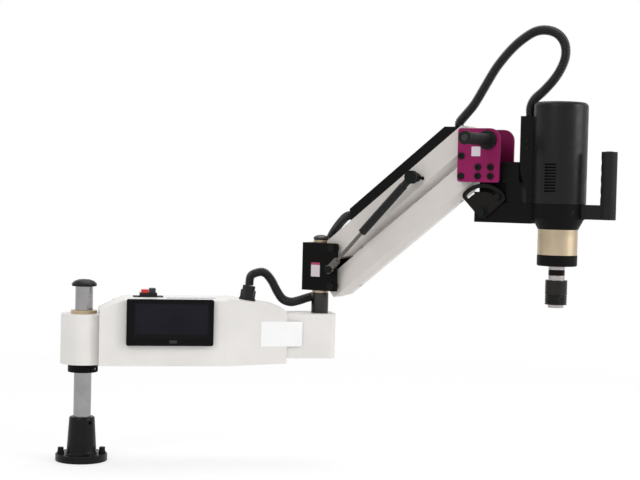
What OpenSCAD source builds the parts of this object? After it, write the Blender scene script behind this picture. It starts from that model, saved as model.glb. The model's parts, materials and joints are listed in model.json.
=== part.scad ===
// Arm tapping machine: bench base with a column, a swinging electronics arm,
// a sprung parallel-link arm and a tilting motor head with a quick-change chuck.
// Millimetres, +Z up. Origin: centre of the base's underside, on the column axis.
// Positions along the link arm are named _s (outwards from the post) and heights _z.

/* [Base and column] */
// Diameter of the base flange
flange_d = 112; // [110:1:130]
// Thickness of the base flange
flange_t = 16; // [12:1:18]
// Diameter of the column
column_d = 38; // [36:1:39]
// Distance from the flange's edge to the circle of the bench holes
bench_edge = 10; // [8:0.5:11]
// Diameter of the bench holes
bench_hole_d = 9; // [7:0.5:9]

/* [Arms] */
// Distance from the column axis to the post axis
post_x = 520; // [515:1:530]
// Turn of the link arm towards the viewer, in degrees
arm_turn = 39.5; // [30:0.5:45]
// Lift of the beams above level, in degrees
lift = 39; // [30:0.5:40]
// Distance between the pins of a beam
beam_l = 392; // [388:1:400]
// Half width of a beam
beam_half = 22.5; // [21:0.5:22.5]

/* [Head] */
// Outside diameter of the motor cover
cover_d = 111; // [108:1:112]
// Height of the motor cover
cover_h = 207; // [190:1:220]
// Diameter of the quick-change chuck's hole
chuck_hole_d = 19; // [16:0.5:20]

/* [Hidden] */
$fn = 72;
fine_fn = 96;
over = 1;
run_gap = 0.05;
face_gap = 0.1;
edge = 1;
column_r = column_d / 2;

// Base
flange_r = flange_d / 2;
flange_edge = 2;
cone_foot_h = 8;
cone_foot_w = 14;
cone_top_w = 8.5;
cone_low_z = flange_t + cone_foot_h;
cone_low_r = column_r + cone_foot_w;
cone_top_z = 96;
cone_top_r = column_r + cone_top_w;
cone_rim = 3;
seat_z = 6;
bench_hole_r = bench_hole_d / 2;
jack_edge = 11;
jack_turns = [188, -10];
jack_r = 4;
jack_washer_r = 8;
jack_washer_t = 1.6;
jack_nut_r = 7.5;
jack_nut_t = 4;
jack_head_r = 6.5;
jack_head_t = 8;
socket_r = 3.4;
socket_depth = 4;
grub_r = 4;
grub_z = 84;
grub_turn = -52;
grub_l = 7;

// Column
column_top = 385;
cap_over = 8;
cap_drop = 5.5;
cap_h = 10;
cap_r = column_r + cap_over;
cap_low_z = column_top - cap_drop;
cap_rim_z = column_top + edge;
cap_top_z = column_top + cap_h;

// Height collar
collar_w = 13.5;
collar_r = column_r + collar_w;
collar_z0 = 193.5;
collar_z1 = 210;
collar_slot = 2;
collar_turn = -62;
collar_screw_x = 26;
collar_screw_r = 2.5;
collar_head_r = 4.2;
collar_head_y = 9;
collar_head_t = 5;
collar_screw_end = 15;

// Hub and box
hub_r = 49;
hub_z0 = 212;
hub_z1 = 320.5;
bush_wall = 4;
bush_od_r = column_r + bush_wall;
bush_l = 30;
bush_top_r = 28.2;
bush_top_t = 7;
box_x0 = 32;
box_bend_x = 308;
box_x1 = 440;
box_half = 57;
box_end_half = 47;
box_end_rise = 5;
box_end_z = hub_z0 + box_end_rise;
box_top_z = 357.5;
box_top_x0 = 88;
box_top_x1 = 320;
box_left_z = 331;
box_step_x = 412;
box_step_z = 345;
box_crest_x = 432;
box_crest_z = 337;
box_right_z = 326;
box_wall = 3;
box_edge = 8;
cav_x0 = 54;
cav_x1 = 418;
hatch_x0 = 70;
hatch_x1 = 296;
hatch_z0 = 224;
hatch_z1 = 340;
hatch_lip = 8;
hatch_t = 2.5;
hatch_screw_r = 3.5;
hatch_screw_t = 2;
block_in = 96;
block_out = 31;
block_x0 = post_x - block_in;
block_x1 = post_x + block_out;
block_half = 42;
block_z0 = 228;
block_round = 14;
post_seat_z = 240;

// Screen
bezel_x0 = 89;
bezel_x1 = 276;
bezel_z0 = 257;
bezel_z1 = 357;
bezel_t = 12;
bezel_round = 4;
glass_x0 = 102;
glass_x1 = 268.6;
glass_z0 = 271;
glass_z1 = 352;
glass_t = 2;
glass_in = 0.6;
glass_ledge = 4;

// Switch
plate_x0 = 105.5;
plate_x1 = 170.3;
plate_half = 15;
plate_t = 2;
rim_x0 = 119.6;
rim_x1 = 157;
rim_half = 13;
rim_h = 9;
well_depth = 16;
rim_z = box_top_z + rim_h;
well_z = box_top_z - well_depth;
stop_x0 = 122.6;
stop_x1 = 138.6;
start_x0 = 139.6;
start_x1 = 154;
button_half = 10;
button_round = 2;
button_gap = 0.3;
button_in = 6;
button_room = 5;
button_low_z = box_top_z - button_in;
button_stop_z = button_low_z - button_room;
stop_top_z = 374;
start_top_z = 377;

// Inside the box
drive_x0 = 76;
drive_x1 = 196;
drive_y0 = -28;
drive_y1 = 44;
drive_z1 = 304;
fin_count = 9;
fin_share = 0.5;
fin_h = 10;

// Hose gland on the sloping top
gland_x = 356;
gland_tilt = atan((box_top_z - box_step_z) / (box_step_x - box_top_x1));
gland_z = box_top_z - (gland_x - box_top_x1) * tan(gland_tilt);
gland_neck_r = 12;
gland_bore_r = 7.5;
gland_flange_r = 18.5;
gland_flange_t = 4;
gland_hex_r = 17;
gland_hex_t = 18;
gland_top_r = 14;
gland_h = 32;
gland_nut_r = 17;
gland_nut_t = 5;
gland_nut_gap = 0.5;
gland_end = 12;

// Post and pivot block
post_r = 19;
post_z1 = 371;
journal_r = 12.5;
journal_z1 = 489;
post_cap_r = 17.5;
post_cap_rim = 5;
post_cap_h = 11;
post_bush_r = 16;
post_bush_l = 32;
low_flange_r = 18.4;
up_flange_r = 17;
up_flange_t = 5.5;
turn_s0 = -26.5;
turn_s1 = 63;
turn_half = 39.5;
turn_z0 = 378;
turn_z1 = 483;
turn_round = 4;
ear_s = 21;
ear_clear = 1;
ear_in = beam_half + ear_clear;
ear_taper = 8;
ear_tip = 3.5;
lug_s = -8;
lug_r = 12.5;
lug_z0 = 418;
lug_z1 = 444;

// Pins
pin_s = 47.5;
pin_z = 473;
pin_gap = 84;
pin_hole_r = 6;
pin_r = pin_hole_r - run_gap;
pin_head_r = 9;
pin_head_t = 3;

// Beams, in their own frame: x along, z across, from the near pin
beam_top = 24;
beam_low = -32;
chamfer_z = -20;
chamfer_y = 9;
drain_r = 4;
drain_in = 20;
skin = 2.5;
end_over = 16;
end_top_x = 6;
end_top_z = 14;
end_low_x = 14;
end_low_z = -19;
solid_l = 24;
link_bush_r = 8.5;
link_bore_r = pin_hole_r + run_gap;
link_flange_r = 11;
link_flange_t = 0.6;
open_bore_r = pin_hole_r + run_gap * 2;

// Cable cover on the upper beam
shroud_x0 = 66;
shroud_slant = 14;
shroud_x1 = 366;
shroud_end = 28;
shroud_top = 47;
shroud_half = 20;

// Gas spring
spring_t = 52;
foot_s = 50;
foot_z = 426.5;
eye_x = 252;
bolt_x = 261;
bolt_z = -9.5;
bolt_r = 3.8;
bolt_t = 3;
stud_r = 5;
stud_flange_r = 9;
stud_end = 60;
stud_head_r = 8;
stud_head_t = 2.5;
fork_r = 9.5;
fork_half = 4.6;
fork_l = 30;
fork_neck_r = 7;
rod_r = 4;
rod_end = 200;
piston_l = 10;
piston_r = 6.9;
tube_x0 = 115;
tube_x1 = 256;
tube_r = 9;
tube_bore_r = 7;
tube_wall = 5;
eye_r = 13;
eye_hole_r = 9;
eye_half = 4;
eye_cap_r = 14;
eye_cap_y = spring_t + eye_half + face_gap;
foot_dx = pin_s + eye_x * cos(lift) - foot_s;
foot_dz = pin_z + eye_x * sin(lift) - foot_z;
spring_l = sqrt(foot_dx * foot_dx + foot_dz * foot_dz);
spring_a = atan(foot_dz / foot_dx);
eye_play = eye_hole_r - stud_r;

// Head plates and what is between them. The head is measured with its upper pin at far_s
// and far_z, and goes where the beams' ends are
far_s = 352.141;
far_z = 719.694;
head_ds = pin_s + beam_l * cos(lift) - far_s;
head_dz = pin_z + beam_l * sin(lift) - far_z;
near_far_z = far_z - pin_gap;
mid_z = far_z - pin_gap / 2;
head_s0 = 343;
head_s1 = 437.5;
head_z0 = 623.8;
head_z1 = 735.6;
head_big_round = 24;
head_small_round = 6;
head_out = 40.5;
head_skin = 5;
head_in = head_out - head_skin;
bar_s0 = 345;
bar_s1 = 361;
bar_clear = 0.8;
bar_in = beam_half + bar_clear;
bar_z0 = 625;
bar_z1 = 732;
bolt_head_r = 7.2;
bolt_head_t = 3;
bolt_shank_r = 4;
bolt_l = 12;
row_s = [390, 418];
row_z = [636.3, 655];
body_s0 = 380;
body_s1 = 474.5;
body_z1 = 667;
body_tail_half = 25;
stop_s0 = 447;
stop_s1 = 480;
stop_half = 25;
stop_cut_s = 5.5;
stop_cut_z = 14;
stop_z = 583;
ear_half = 14;
ear_s0 = 383.3;
ear_s1 = 445;
ear_low_z = 582;
tilt_s = 399.3;
tilt_z = 561.2;
tilt_ear_r = 16;
tilt_bolt_r = 5;
tilt_boss_r = 9;
tilt_washer_r = 12;
tilt_washer_t = 2;
tilt_head_r = 8;
tilt_head_t = 6;

// Side grip
grip_s = 410.2;
grip_z = 711.3;
grip_flange_r = 20;
grip_flange_end = 46;
grip_r = 12.5;
grip_end = 160;
grip_ring_t = 6;
grip_ring_r = 14;
grip_button_r = 7;
grip_button_out = 1;
grip_button_in = 7;
grip_pocket = 12;

// Fan plate and lock
cheek_in = 16;
cheek_out = 26;
fan_out = 32;
fan_r = 60;
fan_mid_a = 88;
fan_half_a = 46;
fan_hub_r = 12.5;
fan_corner_r = 10;
fan_slot_r = 47.2;
fan_slot_half = 4.5;
lock_r = 4;
lock_a = 45;
lock_swing = 90;
slot_spare = 0.5;
lock_in = 12;
pad_s0 = 377;
pad_z1 = 604;

// Tilt bracket
bracket_s0 = 378;
bracket_s1 = 519;
bracket_z0 = 541;
bracket_left_z = 565;
bracket_slope_s = 395;
web_s = 487;
floor_s = 428;
floor_t = 5;

// Motor
motor_s = 553;
flange_body_r = 54;
flange_z0 = 552;
flange_z1 = 583;
bell_z0 = 531;
bell_r = 41;
bell_top_r = 52;
cover_r = cover_d / 2;
cover_z1 = flange_z1 + cover_h;
cover_skin = 2.5;
cover_round = 10;
vent_count = 10;
vent_pitch = 6;
vent_z0 = 607;
vent_share = 0.5;
vent_half = 12;
stator_r = 48;
stator_bore_r = 24;
stator_z1 = 705;
bell_t = 15;
rotor_r = 23.5;
rotor_z0 = 590;
rotor_z1 = 698;
shaft_r = 8;
shaft_z1 = 717;
ring_z0 = 478.6;
ring_r = 40.6;
ring_in_r = 36.5;
tooth_z0 = 491;
tooth_z1 = 518;
gear_z0 = 492;
gear_z1 = 517;
tooth_module = 1.25;
sun_teeth = 18;
planet_teeth = 18;
ring_teeth = 54;
planet_r = tooth_module * (sun_teeth + planet_teeth) / 2;
planet_count = 3;
planet_pin_r = 3;
tooth_addendum_share = 1;
tooth_dedendum_share = 1.25;
tooth_play = 0.1;
carrier_r = 30;
carrier_z0 = 482;
carrier_z1 = 490;
nose_z0 = 456;
nose_r = 41;
nose_lip = 2;
bearing_r = 26;
bearing_in_r = 16.9;
spindle_r = 16.8;
lip_r = 18.5;
band_z0 = 436.4;
band_z1 = 447.7;
band_depth = 0.6;
core_r = 17.5;
core_z1 = 427;
core_z0 = 376;
chuck_z0 = 370.6;
chuck_end_r = 16;
chuck_hole_r = chuck_hole_d / 2;
chuck_depth = 28;
sleeve_r = 22.4;
sleeve_z0 = 377;
sleeve_ring_count = 4;
sleeve_ring_pitch = 5;
sleeve_ring_w = 2;
sleeve_ring_depth = 1;
sleeve_grip_z = 380;

// Cable box beside the motor
duct_s0 = 476.5;
duct_s1 = 530;
duct_low_s = 492;
duct_curve_z0 = 612;
duct_curve_z1 = 668;
duct_z1 = 761;
duct_half = 28;
duct_wall = 2.5;
duct_step = 3;
duct_bend_share = 0.55;
duct_mouth_r = 7.5;
duct_screw_s = 492;
duct_screw_z = [695, 710.5];
duct_screw_r = 3.5;
duct_screw_t = 1.8;

// End handle
bar_out_s = 592;
end_bar_z1 = 582.5;
end_bar_z0 = 553;
end_bar_half = 12;
end_grip_s = 657.5;
end_grip_r = 16;
end_grip_z1 = 690;
groove_r = 14;
groove_depth = 3;
groove_z0 = 602;
groove_pitch = 22;
groove_count = 4;
thumb_r = 8;
thumb_out = 1;
thumb_in = 6;
thumb_pocket = 10;

// Hoses
hose_r = 10;
hose_core_share = 0.8;
hose_bore_share = 0.6;
hose_pitch = 5;
hose_sides = 8;
hose_steps = 8;
far_rings = 24;

// Derived values
jack_top = flange_t + jack_washer_t + jack_nut_t + jack_head_t;
dome_shares = [0.8, 0.5, 0.45, 0.88];
dome_h = cap_top_z - cap_rim_z;
cap_dome_h = post_cap_h - post_cap_rim;
collar_mid_z = (collar_z0 + collar_z1) / 2;
fin_pitch = (drive_x1 - drive_x0) / fin_count;
lug_y = 51.5;
hose_bore_r = 7.5;
near_flange_t = spring_t - fork_half - turn_half - face_gap;
fork_neck_x = stud_flange_r + edge;
lock_s = tilt_s + fan_slot_r * cos(lock_a);
lock_z = tilt_z + fan_slot_r * sin(lock_a);
rear_boss_y = cheek_out + face_gap;
far_cap_y = spring_t - eye_half - face_gap;
slot_steps = 8;
fan_corner_in = fan_hub_r - fan_corner_r;
fan_edge_l = sqrt((fan_r - fan_corner_r) * (fan_r - fan_corner_r) - fan_corner_in * fan_corner_in);
fan_along = [cos(fan_half_a), -sin(fan_half_a)];
fan_inward = [sin(fan_half_a), cos(fan_half_a)];
fan_corner = fan_edge_l * fan_along - fan_corner_in * fan_inward;
fan_corner_a = atan(fan_corner[1] / fan_corner[0]);
fan_steps = 24;
fan_step_a = -2 * fan_corner_a / fan_steps;
flange_mid_z = (flange_z0 + flange_z1) / 2;
flange_screw_turn = -38;
duct_bend_z = duct_curve_z0 + (duct_curve_z1 - duct_curve_z0) * duct_bend_share;
duct_mouth_s = 486.8;
ring_turn = 180 / ring_teeth;
gear_root_share = 1.55;
gear_tip_share = 0.45;
ring_root_share = 1.4;
ring_tip_share = 0.6;
shroud_mid_z = (beam_top + shroud_top) / 2;
shroud_mouth_x = shroud_x0 + shroud_slant / 2;
shroud_mouth_a = atan((shroud_top - beam_top) / shroud_slant);
shroud_far_share = 0.7;
shroud_far_x = shroud_x1 + shroud_end * shroud_far_share;
shroud_far_z = shroud_top - (shroud_top - beam_top) * shroud_far_share;
shroud_far_a = atan((shroud_top - beam_top) / shroud_end);
shroud_mouth_y = 8;

// Hose routes, chosen by hand; the ends are added from what they meet
hose_gap = 1.2;
hose_straight = 20;
far_straight = 8;
lower_route = [[376, 0, 413], [393, 0, 414], [409, 1, 398], [423, 2, 373], [437, 6, 355], [456, 15, 348],
  [475, 27, 350], [495, 38, 355], [515, 47, 360], [533, 52, 368], [543, 48, 382]];
middle_route = [[-7, 51, 484], [1, 49, 500], [15, 42, 515], [37, 25, 531]];
upper_route = [[334, 0, 757], [346, 0, 770], [362, 0, 789], [383, 0, 823], [397, 0, 846], [411, 0, 867],
  [436, 0, 896], [461, 0, 918], [490, 0, 935], [515, 0, 938], [538, 0, 931], [554, 0, 914], [559, 0, 892],
  [554, 0, 868], [538, 0, 840], [514, 0, 814], [495, 0, 797]];

// Helpers

// Upright round bar between two heights
module rod(r, z0, z1) translate([0, 0, z0]) cylinder(r = r, h = z1 - z0);

// Round bar along Y
module cross_rod(r, y0, y1) translate([0, y0, 0]) rotate([-90, 0, 0]) cylinder(r = r, h = y1 - y0);

// Six-sided bar along Y
module cross_hex(r, y0, y1)
  translate([0, y0, 0]) rotate([-90, 0, 0]) cylinder(r = r, h = y1 - y0, $fn = 6);

// Plain block between limits
module block(x, y, z)
  translate([x[0], y[0], z[0]]) cube([x[1] - x[0], y[1] - y[0], z[1] - z[0]]);

// Rectangle with round corners
module round_rect(x, y, r) {
  translate([x[0] + r, y[0]]) square([x[1] - x[0] - 2 * r, y[1] - y[0]]);
  translate([x[0], y[0] + r]) square([x[1] - x[0], y[1] - y[0] - 2 * r]);
  for (px = [x[0] + r, x[1] - r]) for (py = [y[0] + r, y[1] - r]) translate([px, py]) circle(r = r);
}

// Block with round upright edges
module round_block(x, y, z, r)
  translate([0, 0, z[0]]) linear_extrude(z[1] - z[0]) round_rect(x, y, r);

// Outline drawn in x and z, as a plate between two y values
module side_plate(y0, y1)
  translate([0, y1, 0]) rotate([90, 0, 0]) linear_extrude(y1 - y0) children();

// Outline drawn in y and z, pulled along x
module run_plate(x0, x1)
  translate([x0, 0, 0]) rotate([90, 0, 90]) linear_extrude(x1 - x0) children();

// The link arm's frame: x outwards from the post, -y towards the viewer
module arm_frame() translate([post_x, 0, 0]) rotate([0, 0, -arm_turn]) children();

// A beam's frame, at its near pin
module beam_frame(z) arm_frame() translate([pin_s, 0, z]) rotate([0, -lift, 0]) children();

// The head's frame, moved with the beams' far ends
module head_frame() arm_frame() translate([head_ds, 0, head_dz]) children();

// A point of the link arm's side plane
module at(s, z) translate([s, 0, z]) children();

// The motor's axis
module motor_frame() head_frame() translate([motor_s, 0, 0]) children();

// Socket for a hexagon key, facing up at height z
module key_socket(z)
  translate([0, 0, z - socket_depth]) cylinder(r = socket_r, h = socket_depth + over, $fn = 6);

// Base

module base_outline() {
  polygon([[0, 0], [flange_r - edge, 0], [flange_r, edge], [flange_r, flange_t - flange_edge],
    [flange_r - flange_edge, flange_t],
    [cone_low_r + cone_rim, flange_t], [cone_low_r, flange_t + cone_rim], [cone_low_r - edge, cone_low_z],
    [cone_top_r, cone_top_z - cone_rim], [cone_top_r - edge, cone_top_z - edge],
    [cone_top_r - cone_rim, cone_top_z], [0, cone_top_z]]);
}

module at_bench_holes()
  for (a = [45 : 90 : 315]) rotate([0, 0, a]) translate([flange_r - bench_edge, 0, 0]) children();

module at_jacks() for (a = jack_turns) rotate([0, 0, a]) translate([flange_r - jack_edge, 0, 0]) children();

module base_flange() color([0.08, 0.08, 0.08]) difference() {
  rotate_extrude($fn = fine_fn) base_outline();
  rod(column_r + run_gap, seat_z, cone_top_z + over);
  at_bench_holes() rod(bench_hole_r, -over, flange_t + over);
  at_jacks() rod(jack_r + run_gap, -over, cone_low_z + over);
  at_jacks() rod(jack_washer_r + run_gap, flange_t, cone_low_z + over);
  rotate([0, 0, grub_turn]) translate([0, 0, grub_z]) rotate([0, 90, 0]) rod(grub_r + run_gap, 0, flange_r);
}

module jack_screw() difference() {
  union() {
    rod(jack_r, edge, flange_t + jack_washer_t);
    rod(jack_washer_r, flange_t, flange_t + jack_washer_t);
    translate([0, 0, flange_t + jack_washer_t]) cylinder(r = jack_nut_r, h = jack_nut_t, $fn = 6);
    rod(jack_head_r, flange_t + jack_washer_t + jack_nut_t, jack_top);
  }
  key_socket(jack_top);
}

module base_screws() color([0.72, 0.72, 0.72]) {
  at_jacks() jack_screw();
  rotate([0, 0, grub_turn]) translate([column_r + run_gap, 0, grub_z]) rotate([0, 90, 0]) difference() {
    rod(grub_r, 0, grub_l);
    key_socket(grub_l);
  }
}

module column() color([0.78, 0.78, 0.78]) rotate_extrude($fn = fine_fn)
  polygon([[0, seat_z], [column_r - edge, seat_z], [column_r, seat_z + edge], [column_r, column_top - edge],
    [column_r - edge, column_top], [0, column_top]]);

module column_cap() color([0.08, 0.08, 0.08]) difference() {
  rotate_extrude($fn = fine_fn)
    polygon([[0, cap_low_z], [cap_r - edge, cap_low_z], [cap_r, cap_low_z + edge], [cap_r, cap_rim_z - edge],
      [cap_r - edge, cap_rim_z], [cap_r * dome_shares[0], cap_rim_z + dome_h * dome_shares[1]],
      [cap_r * dome_shares[2], cap_rim_z + dome_h * dome_shares[3]], [0, cap_top_z]]);
  rod(column_r + run_gap, cap_low_z - over, column_top);
}

module height_collar() color([0.1, 0.1, 0.1]) rotate([0, 0, collar_turn]) difference() {
  rotate_extrude($fn = fine_fn)
    polygon([[0, collar_z0], [collar_r - edge, collar_z0], [collar_r, collar_z0 + edge],
      [collar_r, collar_z1 - edge], [collar_r - edge, collar_z1], [0, collar_z1]]);
  rod(column_r + run_gap, collar_z0 - over, collar_z1 + over);
  block([0, collar_r + over], [-collar_slot / 2, collar_slot / 2], [collar_z0 - over, collar_z1 + over]);
  translate([collar_screw_x, 0, collar_mid_z]) {
    cross_rod(collar_screw_r + run_gap, -collar_screw_end, collar_r);
    cross_rod(collar_head_r + run_gap, collar_head_y, collar_r);
  }
}

module collar_screw() color([0.6, 0.6, 0.6]) rotate([0, 0, collar_turn])
  translate([collar_screw_x, 0, collar_mid_z]) difference() {
    union() {
      cross_rod(collar_screw_r, edge - collar_screw_end, collar_head_y);
      cross_rod(collar_head_r, collar_head_y, collar_head_y + collar_head_t);
    }
    cross_hex(collar_screw_r, collar_head_y + edge, collar_head_y + collar_head_t + over);
  }

// Arm body

module box_outline(w) polygon([[box_x0 + w, hub_z0 + w], [box_bend_x, hub_z0 + w],
  [box_x1 - w, box_end_z + w],
  [box_x1 - w, box_right_z - w], [box_crest_x - w, box_crest_z - w], [box_step_x - w, box_step_z - w],
  [box_top_x1 - w / 2, box_top_z - w], [box_top_x0 + w / 2, box_top_z - w], [box_x0 + w, box_left_z - w]]);

module box_plan(w) polygon([[box_x0, w - box_half], [box_bend_x, w - box_half], [box_x1, w - box_end_half],
  [box_x1, box_end_half - w], [box_bend_x, box_half - w], [box_x0, box_half - w]]);

module box_shape(w) intersection() {
  side_plate(-box_half - over, box_half + over) box_outline(w);
  translate([0, 0, hub_z0 - over]) linear_extrude(box_top_z - hub_z0 + 2 * over) box_plan(w);
}

// What is cut off to round a long top edge of the box
module edge_cut() translate([box_x0 - over, 0, 0]) run_plate(0, box_bend_x - box_x0 + over) difference() {
  translate([-box_half - over, box_top_z - box_edge]) square([box_edge + over, box_edge + over]);
  translate([box_edge - box_half, box_top_z - box_edge]) circle(r = box_edge);
}

module arm_hub() color([0.93, 0.92, 0.89]) difference() {
  rod(hub_r, hub_z0, hub_z1);
  rod(bush_od_r + run_gap, hub_z0 - over, hub_z1 + over);
}

module arm_body() color([0.93, 0.92, 0.89]) difference() {
  union() {
    box_shape(0);
    round_block([block_x0, block_x1], [-block_half, block_half], [block_z0, box_right_z], block_round);
  }
  edge_cut();
  mirror([0, 1, 0]) edge_cut();
  intersection() {
    box_shape(box_wall);
    block([cav_x0, cav_x1], [-box_half, box_half], [hub_z0, box_top_z]);
  }
  rod(hub_r, hub_z0 - over, hub_z1);
  rod(max(bush_od_r, bush_top_r) + run_gap, hub_z1 - over, box_top_z + over);
  block([hatch_x0, hatch_x1], [box_half - box_wall - over, box_half + over], [hatch_z0, hatch_z1]);
  block([glass_x0 + glass_ledge, glass_x1 - glass_ledge], [-box_half - over, over - box_half + box_wall],
    [glass_z0 + glass_ledge, glass_z1 - 2 * glass_ledge]);
  block([rim_x0 - run_gap, rim_x1 + run_gap], [-rim_half - run_gap, rim_half + run_gap],
    [box_top_z - box_wall - over, box_top_z + over]);
  translate([gland_x, 0, gland_z]) rotate([0, gland_tilt, 0])
    rod(gland_neck_r + run_gap, -gland_end, gland_end);
  translate([post_x, 0, 0]) rod(post_r + run_gap, post_seat_z, box_top_z);
}

module arm_cover() color([0.93, 0.92, 0.89]) {
  side_plate(box_half, box_half + hatch_t)
    round_rect([hatch_x0 - hatch_lip, hatch_x1 + hatch_lip], [hatch_z0 - hatch_lip, hatch_z1 + hatch_lip],
      bezel_round);
  for (x = [hatch_x0 - hatch_lip / 2, hatch_x1 + hatch_lip / 2])
    for (z = [hatch_z0 - hatch_lip / 2, hatch_z1 + hatch_lip / 2]) at(x, z)
      cross_rod(hatch_screw_r, box_half + hatch_t, box_half + hatch_t + hatch_screw_t);
}

module column_bushes() color([0.75, 0.65, 0.5]) difference() {
  union() {
    rod(bush_od_r, hub_z1 - bush_l, hub_z1 + bush_top_t);
    rod(bush_top_r, hub_z1, hub_z1 + bush_top_t);
    rod(bush_od_r, collar_z1 + face_gap, hub_z0 + bush_l);
    rod(bush_top_r, collar_z1 + face_gap, hub_z0);
  }
  rod(column_r + run_gap, collar_z0, column_top);
}

module screen_bezel() color([0.08, 0.08, 0.09]) difference() {
  side_plate(-box_half - bezel_t, -box_half)
    round_rect([bezel_x0, bezel_x1], [bezel_z0, bezel_z1], bezel_round);
  side_plate(-box_half - bezel_t - over, -box_half - bezel_t + glass_in + glass_t)
    round_rect([glass_x0, glass_x1], [glass_z0, glass_z1], bezel_round / 2);
  block([glass_x0 + glass_ledge, glass_x1 - glass_ledge], [-box_half - bezel_t, over - box_half],
    [glass_z0 + glass_ledge, glass_z1 - glass_ledge]);
}

module screen_glass() color([0.1, 0.12, 0.16])
  side_plate(-box_half - bezel_t + glass_in, -box_half - bezel_t + glass_in + glass_t)
    round_rect([glass_x0 + run_gap, glass_x1 - run_gap], [glass_z0 + run_gap, glass_z1 - run_gap],
      bezel_round / 2);

// Switch

module button_shape(x, gap, z)
  round_block([x[0] - gap, x[1] + gap], [-button_half - gap, button_half + gap], z, button_round);

module switch_plate() color([0.12, 0.12, 0.12]) difference() {
  union() {
    round_block([plate_x0, plate_x1], [-plate_half, plate_half], [box_top_z, box_top_z + plate_t],
      button_round);
    block([rim_x0, rim_x1], [-rim_half, rim_half], [well_z, rim_z]);
  }
  button_shape([stop_x0, stop_x1], button_gap, [button_stop_z, rim_z + over]);
  button_shape([start_x0, start_x1], button_gap, [button_stop_z, rim_z + over]);
}

module stop_button() color([0.8, 0.1, 0.08])
  button_shape([stop_x0, stop_x1], 0, [button_low_z, stop_top_z]);

module start_button() color([0.2, 0.2, 0.2])
  button_shape([start_x0, start_x1], 0, [button_low_z, start_top_z]);

// Inside the box

module servo_drive() color([0.25, 0.26, 0.28]) difference() {
  block([drive_x0, drive_x1], [drive_y0, drive_y1], [hub_z0 + box_wall, drive_z1]);
  for (i = [0 : fin_count - 1])
    translate([drive_x0 + fin_pitch * (i + fin_share), 0, 0])
      block([0, fin_pitch * fin_share], [drive_y0 - over, drive_y1 + over],
        [drive_z1 - fin_h, drive_z1 + over]);
}

module hose_gland() color([0.1, 0.1, 0.1])
  translate([gland_x, 0, gland_z]) rotate([0, gland_tilt, 0]) difference() {
  union() {
    rod(gland_neck_r, -gland_end, gland_flange_t);
    rod(gland_flange_r, 0, gland_flange_t);
    translate([0, 0, gland_flange_t]) cylinder(r = gland_hex_r, h = gland_hex_t, $fn = 6);
    rod(gland_top_r, gland_flange_t + gland_hex_t, gland_h);
    translate([0, 0, -box_wall - gland_nut_gap - gland_nut_t])
      cylinder(r = gland_nut_r, h = gland_nut_t, $fn = 6);
  }
  rod(gland_bore_r, -gland_end - over, gland_h + over);
}

// Post

module post() color([0.2, 0.2, 0.21]) translate([post_x, 0, 0]) union() {
  rod(post_r, post_seat_z, post_z1);
  rod(journal_r, post_z1, journal_z1);
}

module post_cap() color([0.2, 0.2, 0.21]) translate([post_x, 0, 0]) rotate_extrude()
  polygon([[0, journal_z1], [post_cap_r - edge, journal_z1], [post_cap_r, journal_z1 + edge],
    [post_cap_r, journal_z1 + post_cap_rim],
    [post_cap_r * dome_shares[0], journal_z1 + post_cap_rim + cap_dome_h * dome_shares[1]],
    [post_cap_r * dome_shares[2], journal_z1 + post_cap_rim + cap_dome_h * dome_shares[3]],
    [0, journal_z1 + post_cap_h]]);

// Pivot block

module pivot_block() color([0.09, 0.09, 0.09]) arm_frame() difference() {
  union() {
    round_block([turn_s0, turn_s1], [-turn_half, turn_half], [turn_z0, turn_z1], turn_round);
    translate([lug_s, lug_y, 0]) rod(lug_r, lug_z0, lug_z1);
    block([lug_s - lug_r, lug_s + lug_r], [turn_half - turn_round, lug_y], [lug_z0, lug_z1]);
  }
  rod(post_bush_r + run_gap, turn_z0 - over, turn_z1 + over);
  block([ear_s, turn_s1 + over], [-ear_in, ear_in], [turn_z0 - over, turn_z1 + over]);
  for (side = [0, 1]) mirror([0, side, 0]) translate([0, 0, turn_z0 - over])
    linear_extrude(turn_z1 - turn_z0 + 2 * over) polygon([[turn_s1 - ear_taper, ear_in - over],
      [turn_s1 - ear_taper, ear_in], [turn_s1, turn_half - ear_tip], [turn_s1 + over, turn_half - ear_tip],
      [turn_s1 + over, ear_in - over]]);
  at(pin_s, pin_z) cross_rod(pin_hole_r, -turn_half - over, turn_half + over);
  at(pin_s, pin_z - pin_gap) cross_rod(pin_hole_r, -turn_half - over, turn_half + over);
  at(foot_s, foot_z) cross_rod(stud_r + run_gap, -turn_half - over, -ear_in + over);
  translate([lug_s, lug_y, 0]) rod(hose_bore_r, lug_z0 - over, lug_z1 + over);
}

module post_bushes() color([0.78, 0.7, 0.55]) translate([post_x, 0, 0]) difference() {
  union() {
    rod(post_bush_r, turn_z1 - post_bush_l, turn_z1 + up_flange_t);
    rod(up_flange_r, turn_z1, turn_z1 + up_flange_t);
    rod(post_bush_r, post_z1 + face_gap, turn_z0 + post_bush_l);
    rod(low_flange_r, post_z1 + face_gap, turn_z0);
  }
  rod(journal_r + run_gap, post_z1 - over, journal_z1);
}

// Pin with a head at each end
module headed_pin(r, out, head_r, head_t) {
  cross_rod(r, -out, out);
  cross_rod(head_r, -out - head_t, -out);
  cross_rod(head_r, out, out + head_t);
}

module near_pins() color([0.6, 0.6, 0.6]) arm_frame() {
  at(pin_s, pin_z) headed_pin(pin_r, turn_half, pin_head_r, pin_head_t);
  at(pin_s, pin_z - pin_gap) headed_pin(pin_r, turn_half, pin_head_r, pin_head_t);
  at(foot_s, foot_z) {
    cross_rod(stud_r, -stud_end, -ear_in - over);
    cross_rod(stud_flange_r, -turn_half - near_flange_t, -turn_half);
    cross_rod(stud_head_r, -stud_end, -spring_t - fork_half - face_gap);
  }
}

// Beams

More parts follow.
